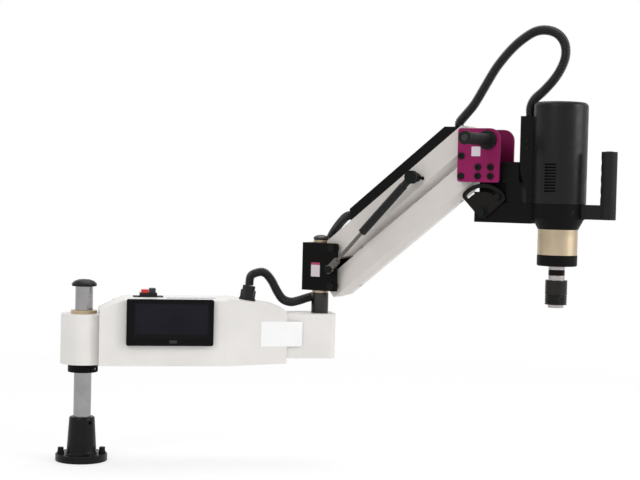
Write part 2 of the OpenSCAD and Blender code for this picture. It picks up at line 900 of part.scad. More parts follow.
module beam_section(w) polygon([[w - beam_half, beam_top - w], [beam_half - w, beam_top - w],
  [beam_half - w, chamfer_z + w / 3], [chamfer_y - w / 3, beam_low + w], [w / 3 - chamfer_y, beam_low + w],
  [w - beam_half, chamfer_z + w / 3]]);

module beam_side() polygon([[-end_over, end_top_z], [-end_top_x, beam_top], [beam_l + end_top_x, beam_top],
  [beam_l + end_over, end_top_z], [beam_l + end_over, end_low_z], [beam_l - end_low_x, beam_low],
  [end_low_x, beam_low], [-end_over, end_low_z]]);

module beam(near_r, far_r) difference() {
  intersection() {
    run_plate(-end_over, beam_l + end_over) beam_section(0);
    side_plate(-beam_half, beam_half) beam_side();
  }
  run_plate(solid_l, beam_l - solid_l) beam_section(skin);
  for (x = [solid_l + drain_in, beam_l - solid_l - drain_in])
    translate([x, 0, 0]) rod(drain_r, beam_low - over, beam_low + skin + over);
  cross_rod(near_r, -beam_half - over, beam_half + over);
  at(beam_l, 0) cross_rod(far_r, -beam_half - over, beam_half + over);
}

module beam_bush(bore_r) difference() {
  union() {
    cross_rod(link_bush_r - run_gap, -beam_half - link_flange_t, beam_half + link_flange_t);
    cross_rod(link_flange_r, -beam_half - link_flange_t, -beam_half);
    cross_rod(link_flange_r, beam_half, beam_half + link_flange_t);
  }
  cross_rod(bore_r, -beam_half - over, beam_half + over);
}

module upper_beam() color([0.8, 0.78, 0.74]) beam_frame(pin_z) difference() {
  beam(link_bush_r, link_bush_r);
  at(eye_x, 0) cross_rod(stud_r + run_gap, -beam_half - over, over - beam_half + skin);
}

module upper_beam_bushes() color([0.78, 0.7, 0.55]) beam_frame(pin_z) {
  beam_bush(link_bore_r);
  at(beam_l, 0) beam_bush(link_bore_r);
}

module lower_beam() color([0.8, 0.78, 0.74]) beam_frame(pin_z - pin_gap) beam(link_bush_r, link_bush_r);

module lower_beam_bushes() color([0.78, 0.7, 0.55]) beam_frame(pin_z - pin_gap) {
  beam_bush(link_bore_r);
  at(beam_l, 0) beam_bush(open_bore_r);
}

module shroud_side(w) polygon([[shroud_x0 + w, beam_top - w], [shroud_x0 + shroud_slant + w, shroud_top - w],
  [shroud_x1 - w, shroud_top - w], [shroud_x1 + shroud_end - w, beam_top - w]]);

module cable_cover() color([0.09, 0.09, 0.09]) beam_frame(pin_z) difference() {
  side_plate(-shroud_half, shroud_half) shroud_side(0);
  side_plate(skin - shroud_half, shroud_half - skin) shroud_side(skin);
  translate([shroud_mouth_x, shroud_mouth_y, shroud_mid_z]) rotate([0, -shroud_mouth_a, 0])
    rod(hose_bore_r, -2 * skin, 2 * skin);
  translate([shroud_far_x, 0, shroud_far_z]) rotate([0, shroud_far_a, 0])
    rod(hose_bore_r, -2 * skin, 2 * skin);
}

// Gas spring

module spring_stud() color([0.6, 0.6, 0.6]) beam_frame(pin_z) {
  at(eye_x, 0) {
    cross_rod(stud_r, -stud_end, skin + face_gap - beam_half);
    cross_rod(stud_flange_r, stud_head_t - far_cap_y, -beam_half);
    cross_rod(eye_cap_r, -far_cap_y, stud_head_t - far_cap_y);
    cross_rod(eye_cap_r, -eye_cap_y - stud_head_t, -eye_cap_y);
  }
  at(bolt_x, bolt_z) cross_rod(bolt_r, -beam_half - bolt_t, -beam_half);
}

module spring_frame() arm_frame() translate([foot_s, -spring_t, foot_z]) rotate([0, -spring_a, 0]) children();

// Round bar along x
module long_rod(r, x0, x1) translate([x0, 0, 0]) rotate([0, 90, 0]) cylinder(r = r, h = x1 - x0);

module spring_rod() color([0.75, 0.75, 0.75]) spring_frame() difference() {
  union() {
    cross_rod(fork_r, -fork_half, fork_half);
    block([0, fork_l], [-fork_half, fork_half], [-fork_neck_r, fork_neck_r]);
    long_rod(fork_neck_r, fork_neck_x, fork_l);
    long_rod(rod_r, fork_l, rod_end);
    long_rod(piston_r, rod_end - piston_l, rod_end);
  }
  cross_rod(stud_r + run_gap, -fork_r, fork_r);
}

module spring_cylinder() color([0.3, 0.3, 0.32]) spring_frame() difference() {
  union() {
    long_rod(tube_r, tube_x0, tube_x1);
    long_rod(fork_neck_r, tube_x1, spring_l - eye_cap_r - 2 * eye_play);
    block([tube_x1, spring_l - eye_hole_r - edge], [-eye_half, eye_half], [-fork_neck_r, fork_neck_r]);
    at(spring_l, 0) cross_rod(eye_r, -eye_half, eye_half);
  }
  long_rod(tube_bore_r, tube_x0 + tube_wall, tube_x1 - tube_wall);
  long_rod(rod_r + run_gap, tube_x0 - over, tube_x0 + tube_wall + over);
  at(spring_l, 0) cross_rod(eye_hole_r, -eye_half - over, eye_half + over);
}

// Head plates

module at_far() {
  at(far_s, far_z) children();
  at(far_s, near_far_z) children();
}

module at_row() for (s = row_s) for (z = row_z) at(s, z) children();

module plate_outline() {
  round_rect([head_s0, head_s1 - head_big_round], [head_z0, head_z1], head_small_round);
  round_rect([head_s0, head_s1], [head_z0, head_z1 - head_big_round], head_small_round);
  translate([head_s0 + head_small_round, head_z0])
    square([head_s1 - head_big_round - head_s0 - head_small_round, head_z1 - head_z0]);
  translate([head_s0, head_z0 + head_small_round]) square([head_s1 - head_s0,
    head_z1 - head_big_round - head_z0 - head_small_round]);
  translate([head_s1 - head_big_round, head_z1 - head_big_round]) circle(r = head_big_round);
}

module head_plate(grip_hole) difference() {
  side_plate(-head_out, -head_in) plate_outline();
  at_far() cross_rod(pin_hole_r, -head_out - over, over - head_in);
  at(far_s, mid_z) cross_rod(bolt_shank_r + run_gap, -head_out - over, over - head_in);
  at_row() cross_rod(bolt_shank_r + run_gap, -head_out - over, over - head_in);
  if (grip_hole) at(grip_s, grip_z) cross_rod(bolt_shank_r + run_gap, -head_out - over, over - head_in);
}

module head_plate_front() color([0.55, 0.14, 0.34]) head_frame() head_plate(true);

module head_plate_rear() color([0.45, 0.1, 0.28]) head_frame() mirror([0, 1, 0]) head_plate(false);

// Bar between a head plate and the beams
module spacer_bar() difference() {
  block([bar_s0, bar_s1], [-head_in, -bar_in], [bar_z0, bar_z1]);
  at_far() cross_rod(pin_hole_r, -head_in - over, over - bar_in);
  at(far_s, mid_z) cross_rod(bolt_shank_r + run_gap, -head_in - over, bolt_l - head_out + run_gap);
}

module spacer_bars() color([0.3, 0.3, 0.31]) head_frame() {
  spacer_bar();
  mirror([0, 1, 0]) spacer_bar();
}

module far_pins() color([0.6, 0.6, 0.6]) head_frame() at_far()
  headed_pin(pin_r, head_out, bolt_head_r, bolt_head_t);

// Short screw through a head plate, head outside
module plate_bolt() difference() {
  union() {
    cross_rod(bolt_shank_r, -head_out, bolt_l - head_out);
    cross_rod(bolt_head_r, -head_out - bolt_head_t, -head_out);
  }
  cross_hex(socket_r, -head_out - bolt_head_t - over, -head_out);
}

module plate_bolts() color([0.12, 0.12, 0.12]) head_frame() for (side = [0, 1]) mirror([0, side, 0]) {
  at(far_s, mid_z) plate_bolt();
  at_row() plate_bolt();
}

module head_block() color([0.09, 0.09, 0.09]) head_frame() difference() {
  union() {
    block([body_s0, head_s1], [-head_in, head_in], [head_z0, body_z1]);
    block([body_s0, body_s1], [-body_tail_half, body_tail_half], [head_z0, body_z1]);
    side_plate(-stop_half, stop_half) polygon([[stop_s0, head_z0 + edge], [stop_s0, stop_z + stop_cut_z],
      [stop_s0 + stop_cut_s, stop_z + face_gap], [stop_s1, stop_z + face_gap], [stop_s1, head_z0 + edge]]);
    side_plate(-ear_half, ear_half) {
      polygon([[ear_s0, head_z0 + edge], [ear_s1, head_z0 + edge], [ear_s1, ear_low_z],
        [tilt_s + tilt_ear_r, tilt_z],
        [ear_s0, tilt_z]]);
      translate([tilt_s, tilt_z]) circle(r = tilt_ear_r);
    }
    block([pad_s0, ear_s1], [face_gap - cheek_out, over - ear_half], [stop_z + edge, pad_z1]);
  }
  for (side = [0, 1]) mirror([0, side, 0])
    at_row() cross_rod(bolt_shank_r + run_gap, -head_in - over, bolt_l - head_out + run_gap);
  at_tilt() cross_rod(tilt_bolt_r + run_gap, -head_in, head_in);
  at_lock() cross_rod(lock_r + run_gap, -cheek_out - over, lock_in - ear_half);
}

module side_grip() color([0.08, 0.08, 0.08]) head_frame() at(grip_s, grip_z) difference() {
  union() {
    cross_rod(bolt_shank_r, -grip_flange_end, over / 2 - head_in);
    cross_rod(grip_flange_r, -grip_flange_end, -head_out);
    cross_rod(grip_r, -grip_end, -grip_flange_end);
    cross_rod(grip_ring_r, -grip_end, grip_ring_t - grip_end);
    cross_rod(grip_ring_r, -grip_flange_end - grip_ring_t, -grip_flange_end);
  }
  cross_rod(grip_button_r + button_gap, -grip_end - over, grip_pocket - grip_end);
}

module side_button() color([0.7, 0.1, 0.1]) head_frame() at(grip_s, grip_z)
  cross_rod(grip_button_r, -grip_end - grip_button_out, grip_button_in - grip_end);

// Tilt pivot, fan plate and lock

module at_tilt() at(tilt_s, tilt_z) children();

module at_lock() at(lock_s, lock_z) children();

// Pivot bolt and lock bolt, both held in the head block's ear
module pivot_bolt() color([0.6, 0.6, 0.6]) head_frame() {
  at_tilt() pivot_bolt_shape();
  at_lock() {
    cross_rod(lock_r, -fan_out - face_gap - tilt_washer_t, lock_in - ear_half);
    cross_rod(tilt_head_r, -fan_out - face_gap - tilt_washer_t, -fan_out - face_gap);
    cross_hex(tilt_head_r - edge, -fan_out - face_gap - tilt_washer_t - tilt_head_t,
      -fan_out - face_gap - tilt_washer_t);
  }
}

module pivot_bolt_shape() {
  cross_rod(tilt_bolt_r, -fan_out - face_gap, rear_boss_y);
  cross_rod(tilt_washer_r, -fan_out - face_gap - tilt_washer_t, -fan_out - face_gap);
  cross_hex(tilt_head_r, -fan_out - face_gap - tilt_washer_t - tilt_head_t,
    -fan_out - face_gap - tilt_washer_t);
  cross_rod(tilt_boss_r, ear_half, rear_boss_y);
  cross_rod(tilt_washer_r, rear_boss_y, rear_boss_y + tilt_washer_t);
  cross_hex(tilt_head_r, rear_boss_y + tilt_washer_t, rear_boss_y + tilt_washer_t + tilt_head_t);
}

function arc_points(r, a0, a1, n) = [for (i = [0 : n]) let (a = a0 + (a1 - a0) * i / n)
  [r * cos(a), r * sin(a)]];

// Ring-shaped slot with round ends, from angle a0 up to a1
module arc_slot(r, half, a0, a1) {
  intersection() {
    difference() {
      circle(r = r + half);
      circle(r = r - half);
    }
    polygon(concat([[0, 0]], arc_points(2 * r, a0, a1, slot_steps)));
  }
  for (a = [a0, a1]) translate([r * cos(a), r * sin(a)]) circle(r = half);
}

function flipped(p) = [p[0], -p[1]];

// Fan about its middle line: its sides touch the round hub, its outer corners are round
module fan_outline() polygon(concat(
  [for (p = arc_points(fan_corner_r, -90 - fan_half_a, fan_corner_a, slot_steps)) fan_corner + p],
  arc_points(fan_r, fan_corner_a + fan_step_a, -fan_corner_a - fan_step_a, fan_steps - 2),
  [for (p = arc_points(fan_corner_r, -fan_corner_a, 90 + fan_half_a, slot_steps)) flipped(fan_corner) + p],
  arc_points(fan_hub_r, 90 + fan_half_a, 270 - fan_half_a, slot_steps)));

module sector_plate() color([0.1, 0.1, 0.1]) head_frame() at_tilt()
  side_plate(-fan_out, -cheek_out) difference() {
    rotate([0, 0, fan_mid_a]) fan_outline();
    circle(r = tilt_bolt_r + run_gap);
    arc_slot(fan_slot_r, fan_slot_half, lock_a - slot_spare, lock_a + lock_swing + slot_spare);
  }

module cheek_outline() {
  polygon([[bracket_s0, bracket_z0], [bracket_s1, bracket_z0], [bracket_s1, stop_z],
    [bracket_slope_s, stop_z], [bracket_s0, bracket_left_z]]);
}

module tilt_bracket() color([0.09, 0.09, 0.09]) head_frame() difference() {
  union() {
    for (side = [0, 1]) mirror([0, side, 0]) side_plate(-cheek_out, -cheek_in) cheek_outline();
    block([web_s, bracket_s1], [-cheek_in - over, cheek_in + over], [bracket_z0, stop_z]);
    block([floor_s, bracket_s1], [-cheek_in - over, cheek_in + over], [bracket_z0, bracket_z0 + floor_t]);
  }
  at_tilt() cross_rod(tilt_bolt_r + run_gap, -cheek_out - over, over - cheek_in);
  at_tilt() cross_rod(tilt_boss_r + run_gap, cheek_in - over, cheek_out + over);
  translate([motor_s, 0, 0]) rod(flange_body_r + run_gap, bracket_z0 - over, stop_z + over);
}

// Flange screw and the cable box screws
module tilt_screws() color([0.6, 0.6, 0.6]) head_frame() {
  for (z = duct_screw_z) at(duct_screw_s, z) {
    cross_rod(duct_screw_r, -duct_half - duct_screw_t, -duct_half);
    cross_rod(duct_screw_r / 2, -duct_half, duct_wall - duct_half);
  }
  translate([motor_s, 0, flange_mid_z]) rotate([0, 0, flange_screw_turn]) rotate([0, 90, 0])
    rod(bolt_shank_r, flange_body_r - bolt_l, flange_body_r + edge);
}

// Motor

module motor_flange() color([0.09, 0.09, 0.09]) motor_frame() difference() {
  rotate_extrude($fn = fine_fn)
    polygon([[shaft_r + face_gap, bell_z0], [bell_r, bell_z0], [bell_top_r, flange_z0],
      [flange_body_r, flange_z0], [flange_body_r, flange_z1], [shaft_r + face_gap, flange_z1]]);
  translate([0, 0, flange_mid_z]) rotate([0, 0, flange_screw_turn]) rotate([0, 90, 0])
    rod(bolt_shank_r + run_gap, flange_body_r - bolt_l, flange_body_r + over);
}

module motor_cover() color([0.09, 0.09, 0.09]) motor_frame() difference() {
  rotate_extrude($fn = fine_fn) difference() {
    polygon(concat([[0, flange_z1], [cover_r, flange_z1]],
      [for (p = arc_points(cover_round, 0, 90, slot_steps))
        [cover_r - cover_round + p[0], cover_z1 - cover_round + p[1]]],
      [[0, cover_z1]]));
    translate([0, flange_z1 - over]) square([cover_r - cover_skin, cover_h - cover_round + over]);
    translate([0, flange_z1]) square([cover_r - cover_round, cover_h - cover_skin]);
  }
  for (i = [0 : vent_count - 1])
    block([-vent_half, vent_half], [-cover_r - over, cover_r + over],
      [vent_z0 + i * vent_pitch, vent_z0 + (i + vent_share) * vent_pitch]);
}

module duct_outline(w) polygon([[duct_low_s + w, flange_z1 + w], [duct_s1, flange_z1 + w],
  [duct_s1, duct_z1 - w], [duct_s0 + w, duct_z1 - w], [duct_s0 + w, duct_curve_z1],
  [duct_s0 + w + duct_step, duct_bend_z],
  [duct_low_s + w, duct_curve_z0]]);

module cable_box() color([0.09, 0.09, 0.09]) head_frame() difference() {
  side_plate(-duct_half, duct_half) duct_outline(0);
  side_plate(duct_wall - duct_half, duct_half - duct_wall) duct_outline(duct_wall);
  translate([motor_s, 0, 0]) rod(cover_r + run_gap, flange_z1 - over, duct_z1 + over);
  translate([duct_mouth_s, 0, 0]) rod(duct_mouth_r, duct_z1 - duct_wall - over, duct_z1 + over);
  for (z = duct_screw_z) at(duct_screw_s, z)
    cross_rod(duct_screw_r / 2 + run_gap, -duct_half - over, duct_wall - duct_half + over);
}

module motor_stator() color([0.5, 0.5, 0.52]) motor_frame() difference() {
  rod(stator_r, flange_z1, stator_z1 + bell_t);
  rod(stator_bore_r, flange_z1 - over, stator_z1);
  rod(shaft_r + face_gap, stator_z1 - over, stator_z1 + bell_t - cover_skin);
}

// Gears

// One tooth outline, in plan, pointing along x; grow makes a space for an inner tooth
module tooth(teeth, r_root, r_tip, root_share, tip_share, grow) {
  pitch_r = tooth_module * teeth / 2;
  a_pitch = 90 / teeth;
  a_root = a_pitch * root_share;
  a_tip = a_pitch * tip_share;
  w = grow;
  polygon([[r_root * cos(a_root), -r_root * sin(a_root) - w],
    [pitch_r * cos(a_pitch), -pitch_r * sin(a_pitch) - w],
    [r_tip * cos(a_tip), -r_tip * sin(a_tip) - w], [r_tip * cos(a_tip), r_tip * sin(a_tip) + w],
    [pitch_r * cos(a_pitch), pitch_r * sin(a_pitch) + w], [r_root * cos(a_root), r_root * sin(a_root) + w],
    [r_root - tooth_module, r_root * sin(a_root) + w], [r_root - tooth_module, -r_root * sin(a_root) - w]]);
}

module gear_plan(teeth) {
  root = tooth_module * (teeth / 2 - tooth_dedendum_share);
  circle(r = root, $fn = fine_fn);
  for (i = [0 : teeth - 1]) rotate(360 * i / teeth)
    tooth(teeth, root - tooth_play, tooth_module * (teeth / 2 + tooth_addendum_share), gear_root_share,
      gear_tip_share, -tooth_play);
}

// The open middle of the ring gear
module ring_plan() {
  inner = tooth_module * (ring_teeth / 2 - tooth_addendum_share);
  circle(r = inner, $fn = fine_fn);
  for (i = [0 : ring_teeth - 1]) rotate(360 * i / ring_teeth)
    tooth(ring_teeth, inner - tooth_play, tooth_module * (ring_teeth / 2 + tooth_dedendum_share),
      ring_root_share, ring_tip_share, tooth_play);
}

module motor_rotor() color([0.55, 0.55, 0.57]) motor_frame() {
  rod(rotor_r, rotor_z0, rotor_z1);
  rod(shaft_r, gear_z1 - over, shaft_z1);
  translate([0, 0, gear_z0]) linear_extrude(gear_z1 - gear_z0) gear_plan(sun_teeth);
}

module at_planet(i)
  motor_frame() rotate([0, 0, 360 * i / planet_count]) translate([planet_r, 0, 0]) children();

module planet_gear(i) color([0.75, 0.68, 0.45]) at_planet(i) difference() {
  translate([0, 0, gear_z0]) linear_extrude(gear_z1 - gear_z0) rotate(180 / planet_teeth)
    gear_plan(planet_teeth);
  rod(planet_pin_r + run_gap, gear_z0 - over, gear_z1 + over);
}

module gearbox_ring() color([0.75, 0.65, 0.5]) motor_frame() difference() {
  rod(ring_r, ring_z0, bell_z0);
  rod(ring_in_r, ring_z0 - over, tooth_z0);
  rod(ring_in_r, tooth_z1, bell_z0 + over);
  translate([0, 0, tooth_z0 - over]) linear_extrude(tooth_z1 - tooth_z0 + 2 * over) rotate(ring_turn)
    ring_plan();
}

module gearbox_nose() color([0.09, 0.09, 0.09]) motor_frame() difference() {
  rotate_extrude($fn = fine_fn)
    polygon([[lip_r, nose_z0], [nose_r - nose_lip, nose_z0], [nose_r, nose_z0 + nose_lip], [nose_r, ring_z0],
      [lip_r, ring_z0]]);
  rod(bearing_r + run_gap, nose_z0 + nose_lip, ring_z0 + over);
}

module spindle_bearings() color([0.8, 0.8, 0.82]) motor_frame() difference() {
  rod(bearing_r, nose_z0 + nose_lip, ring_z0 - face_gap);
  rod(bearing_in_r, nose_z0, ring_z0 + over);
}

module spindle() color([0.75, 0.75, 0.76]) motor_frame() difference() {
  union() {
    rod(chuck_end_r, chuck_z0, core_z0);
    rod(core_r, core_z0, core_z1);
    rod(spindle_r, core_z1, carrier_z0);
    rod(carrier_r, carrier_z0, carrier_z1);
    for (i = [0 : planet_count - 1]) rotate([0, 0, 360 * i / planet_count]) translate([planet_r, 0, 0])
      rod(planet_pin_r, carrier_z1 - over, gear_z1 - edge);
  }
  rod(chuck_hole_r, chuck_z0 - over, chuck_z0 + chuck_depth);
  for (z = [band_z0, band_z1]) difference() {
    rod(spindle_r + over, z - band_depth, z + band_depth);
    rod(spindle_r - band_depth, z - over, z + over);
  }
}

module chuck_sleeve() color([0.8, 0.8, 0.8]) motor_frame() difference() {
  rod(sleeve_r, sleeve_z0, core_z1);
  rod(core_r + run_gap, sleeve_z0 - over, core_z1 + over);
  for (i = [0 : sleeve_ring_count - 1]) difference() {
    translate([0, 0, sleeve_grip_z + i * sleeve_ring_pitch]) rod(sleeve_r + over, 0, sleeve_ring_w);
    rod(sleeve_r - sleeve_ring_depth, sleeve_z0, core_z1);
  }
}

// End handle

module end_handle() color([0.08, 0.08, 0.08]) head_frame() difference() {
  union() {
    block([bar_out_s, end_grip_s], [-end_bar_half, end_bar_half], [end_bar_z0, end_bar_z1]);
    translate([end_grip_s, 0, 0]) rod(end_grip_r, end_bar_z0, end_grip_z1);
  }
  translate([motor_s, 0, 0]) rod(flange_body_r + run_gap, end_bar_z0 - over, end_bar_z1 + over);
  for (i = [0 : groove_count - 1])
    at(end_grip_s - end_grip_r - groove_r + groove_depth, groove_z0 + i * groove_pitch)
      cross_rod(groove_r, -end_grip_r - over, end_grip_r + over);
  translate([end_grip_s, 0, 0]) rod(thumb_r + button_gap, end_grip_z1 - thumb_pocket, end_grip_z1 + over);
}

module end_button() color([0.7, 0.1, 0.1]) head_frame() translate([end_grip_s, 0, 0])
  rod(thumb_r, end_grip_z1 - thumb_in, end_grip_z1 + thumb_out);

// Hoses

// Catmull-Rom point between p[i] and p[i + 1]
function on_route(p, i, u) = let (
  a = p[max(i - 1, 0)],
  b = p[i],
  c = p[i + 1],
  d = p[min(i + 2, len(p) - 1)]
) 0.5 * (2 * b + u * (c - a) + u * u * (2 * a - 5 * b + 4 * c - d) + u * u * u * (3 * b - a - 3 * c + d));

function fine_route(p, n) = concat([for (i = [0 : len(p) - 2]) for (k = [0 : n - 1]) on_route(p, i, k / n)],
  [p[len(p) - 1]]);

// Length along a line up to each of its points
function run_lengths(d) = [for (i = 0, run = 0; i < len(d);
  run = run + (i + 1 < len(d) ? norm(d[i + 1] - d[i]) : 0), i = i + 1) run];

function even_points(d, run, count) = [for (k = [0 : count]) let (
  at = run[len(run) - 1] * k / count
) [for (axis = [0 : 2]) lookup(at, [for (i = [0 : len(d) - 1]) [run[i], d[i][axis]]])]];

function ring_at(c, i, r, side) = let (
  way = c[min(i + 1, len(c) - 1)] - c[max(i - 1, 0)],
  u = cross(way, side) / norm(cross(way, side)),
  v = cross(way, u) / norm(way)
) [for (k = [0 : hose_sides - 1]) c[i] + r * (cos(360 * k / hose_sides) * u + sin(360 * k / hose_sides) * v)];

// Triangles between two rings that start at vertices a and b
function skin_faces(a, b, turn) = [for (k = [0 : hose_sides - 1]) let (n = (k + 1) % hose_sides)
  each turn ? [[a + k, b + k, b + n], [a + k, b + n, a + n]]
    : [[a + k, b + n, b + k], [a + k, a + n, b + n]]];

function hose_ribs(route) = let (
  run = run_lengths(fine_route(route, hose_steps))
) 2 * round(run[len(run) - 1] / hose_pitch / 2);

module hose(route, side) {
  line = fine_route(route, hose_steps);
  run = run_lengths(line);
  ribs = hose_ribs(route);
  centres = even_points(line, run, 2 * ribs);
  bores = even_points(line, run, ribs / 2);
  outer = [for (i = [0 : 2 * ribs])
    each ring_at(centres, i, hose_r * (i % 2 == 0 ? hose_core_share : 1), side)];
  inner = [for (i = [0 : ribs / 2]) each ring_at(bores, i, hose_r * hose_bore_share, side)];
  base = len(outer);
  last = base - hose_sides;
  last_in = base + len(inner) - hose_sides;
  polyhedron(points = concat(outer, inner), faces = concat(
    [for (i = [0 : 2 * ribs - 1]) each skin_faces(i * hose_sides, (i + 1) * hose_sides, true)],
    [for (i = [0 : ribs / 2 - 1]) each skin_faces(base + i * hose_sides, base + (i + 1) * hose_sides, false)],
    skin_faces(0, base, false),
    skin_faces(last, last_in, true)));
  far = [for (i = [0 : 2 * ribs]) for (j = [i + far_rings : 2 * ribs]) norm(centres[i] - centres[j])];
  echo(hose_length = run[len(run) - 1], ribs = ribs, least_gap_to_itself = min(far) - 2 * hose_r);
}

function from_beam(x, y, z) = [pin_s + x * cos(lift) - z * sin(lift), y,
  pin_z + x * sin(lift) + z * cos(lift)];

function to_world(s, y, z) = [post_x + s * cos(arm_turn) + y * sin(arm_turn),
  y * cos(arm_turn) - s * sin(arm_turn), z];

gland_out = [sin(gland_tilt), 0, cos(gland_tilt)];
gland_mouth = [gland_x, 0, gland_z] + (gland_h + hose_gap) * gland_out;
near_out = [-sin(shroud_mouth_a + lift), 0, cos(shroud_mouth_a + lift)];
near_mouth = from_beam(shroud_mouth_x, shroud_mouth_y, shroud_mid_z) + hose_gap * near_out;
far_out = [sin(shroud_far_a - lift), 0, cos(shroud_far_a - lift)];
far_mouth = from_beam(shroud_far_x, 0, shroud_far_z) + hose_gap * far_out;

module hose_lower() color([0.1, 0.1, 0.1]) hose(concat(
  [gland_mouth, gland_mouth + hose_straight * gland_out], lower_route,
  [to_world(lug_s, lug_y, lug_z0 - hose_straight), to_world(lug_s, lug_y, lug_z0 - hose_gap)]), [0, 1, 0]);

module hose_middle() color([0.1, 0.1, 0.1]) arm_frame() hose(concat(
  [[lug_s, lug_y, lug_z1 + hose_gap], [lug_s, lug_y, lug_z1 + hose_straight]], middle_route,
  [near_mouth + hose_straight * near_out, near_mouth]), [0, 1, 0]);

module hose_upper() color([0.1, 0.1, 0.1]) arm_frame() hose(concat(
  [far_mouth, far_mouth + far_straight * far_out], upper_route,
  [[duct_mouth_s + head_ds, 0, duct_z1 + head_dz + hose_straight],
    [duct_mouth_s + head_ds, 0, duct_z1 + head_dz + hose_gap]]), [0, 1, 0]);

base_flange();
base_screws();
column();
column_cap();
height_collar();
collar_screw();
arm_hub();
arm_body();
arm_cover();
column_bushes();
screen_bezel();
screen_glass();
switch_plate();
servo_drive();
hose_gland();
post();
post_cap();
stop_button();
start_button();
pivot_block();
post_bushes();
near_pins();
upper_beam();
upper_beam_bushes();
cable_cover();
spring_stud();
lower_beam();
lower_beam_bushes();
spring_rod();
spring_cylinder();
head_plate_front();
head_plate_rear();
spacer_bars();
far_pins();
plate_bolts();
head_block();
side_grip();
pivot_bolt();
sector_plate();
side_button();
tilt_bracket();
tilt_screws();
motor_flange();
motor_cover();
cable_box();
motor_stator();
gearbox_ring();
gearbox_nose();
spindle_bearings();
end_handle();
end_button();
motor_rotor();
planet_gear(1);  // planet_gear_1
planet_gear(2);  // planet_gear_2
planet_gear(3);  // planet_gear_3
spindle();
chuck_sleeve();
hose_lower();
hose_middle();
hose_upper();
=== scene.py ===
# %% [markdown]
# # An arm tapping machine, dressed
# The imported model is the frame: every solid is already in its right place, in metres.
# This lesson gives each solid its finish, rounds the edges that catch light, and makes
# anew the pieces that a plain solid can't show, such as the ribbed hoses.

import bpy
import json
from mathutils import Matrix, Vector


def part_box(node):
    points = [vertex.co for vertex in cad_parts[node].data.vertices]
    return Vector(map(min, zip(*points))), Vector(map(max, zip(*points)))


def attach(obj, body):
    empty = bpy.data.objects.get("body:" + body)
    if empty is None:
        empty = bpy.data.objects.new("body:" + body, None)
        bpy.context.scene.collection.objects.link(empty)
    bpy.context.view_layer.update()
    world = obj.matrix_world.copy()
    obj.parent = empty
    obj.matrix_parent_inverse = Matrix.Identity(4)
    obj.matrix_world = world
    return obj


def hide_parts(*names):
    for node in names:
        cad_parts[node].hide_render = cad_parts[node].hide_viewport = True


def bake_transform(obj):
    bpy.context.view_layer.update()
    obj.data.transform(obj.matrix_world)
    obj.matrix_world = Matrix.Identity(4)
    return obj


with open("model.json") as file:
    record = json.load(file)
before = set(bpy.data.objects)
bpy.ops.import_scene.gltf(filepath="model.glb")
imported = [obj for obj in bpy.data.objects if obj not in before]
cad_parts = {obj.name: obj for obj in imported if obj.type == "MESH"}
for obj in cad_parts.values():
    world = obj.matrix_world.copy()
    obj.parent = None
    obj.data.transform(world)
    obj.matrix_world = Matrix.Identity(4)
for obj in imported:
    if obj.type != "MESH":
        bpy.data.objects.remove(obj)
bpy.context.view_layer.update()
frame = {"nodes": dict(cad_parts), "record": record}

import json
import math

import bmesh
import bpy
from mathutils import Matrix, Vector

# %% [markdown]
# ## The camera
# The picture was taken from slightly left of the column, a little above the arm, from
# about three metres. The camera's three axes are worked out from its turn, its pitch and
# its roll, so that any of the three can be nudged alone. The lens follows from the
# picture's width in pixels.

# %% Place the camera
TURN, PITCH, ROLL = math.radians(10.35), math.radians(2.03), math.radians(1.36)
FOCAL_PIXELS, PICTURE_WIDTH = 1465.06, 640
SENSOR_WIDTH, FAR_CLIP = 36, 60
CAMERA_PLACE = (-0.0695, -3.2118, 0.6038)

forward = Vector((math.sin(TURN) * math.cos(PITCH), math.cos(TURN) * math.cos(PITCH), -math.sin(PITCH)))
level = Vector((math.cos(TURN), -math.sin(TURN), 0))
upright = level.cross(forward)
right = math.cos(ROLL) * level + math.sin(ROLL) * upright
up = -math.sin(ROLL) * level + math.cos(ROLL) * upright

camera_data = bpy.data.cameras.new("photo_camera")
camera_data.sensor_width = SENSOR_WIDTH
camera_data.lens = FOCAL_PIXELS / PICTURE_WIDTH * camera_data.sensor_width
camera_data.clip_end = FAR_CLIP
camera = bpy.data.objects.new("photo_camera", camera_data)
bpy.context.collection.objects.link(camera)
place = Matrix((right, up, -forward)).transposed().to_4x4()
place.translation = CAMERA_PLACE
camera.matrix_world = place
bpy.context.scene.camera = camera
print("lens:", round(camera_data.lens, 2), "mm")

# %% [markdown]
# ## Wires and paints
# A material is a tree of nodes. Two small classes make one read like a sum: a Wire is a
# value on its way from one node to the next, with the usual signs, and a Paint is a tree
# with its shader. Colours and vectors go through Mix and Vector Math, because a Math node
# would turn a colour grey.

# %% The Wire and the Paint
# Most of a noise's values lie between these two
CLOUD = (0.3, 0.7)


class Wire:
    """A socket's value on its way; + - * / and comparisons add Math nodes."""

    def __init__(self, paint, socket):
        self.paint, self.socket = paint, socket

    def _with(self, operation, other, swap=False):
        pair = (other, self) if swap else (self, other)
        return self.paint.node("ShaderNodeMath", {"operation": operation}, {0: pair[0], 1: pair[1]})

    def __add__(self, other):
        return self._with("ADD", other)

    def __sub__(self, other):
        return self._with("SUBTRACT", other)

    def __rsub__(self, other):
        return self._with("SUBTRACT", other, True)

    def __mul__(self, other):
        return self._with("MULTIPLY", other)

    def __truediv__(self, other):
        return self._with("DIVIDE", other)

    def __gt__(self, other):
        return self._with("GREATER_THAN", other)

    def __lt__(self, other):
        return self._with("LESS_THAN", other)

    __radd__ = __add__
    __rmul__ = __mul__


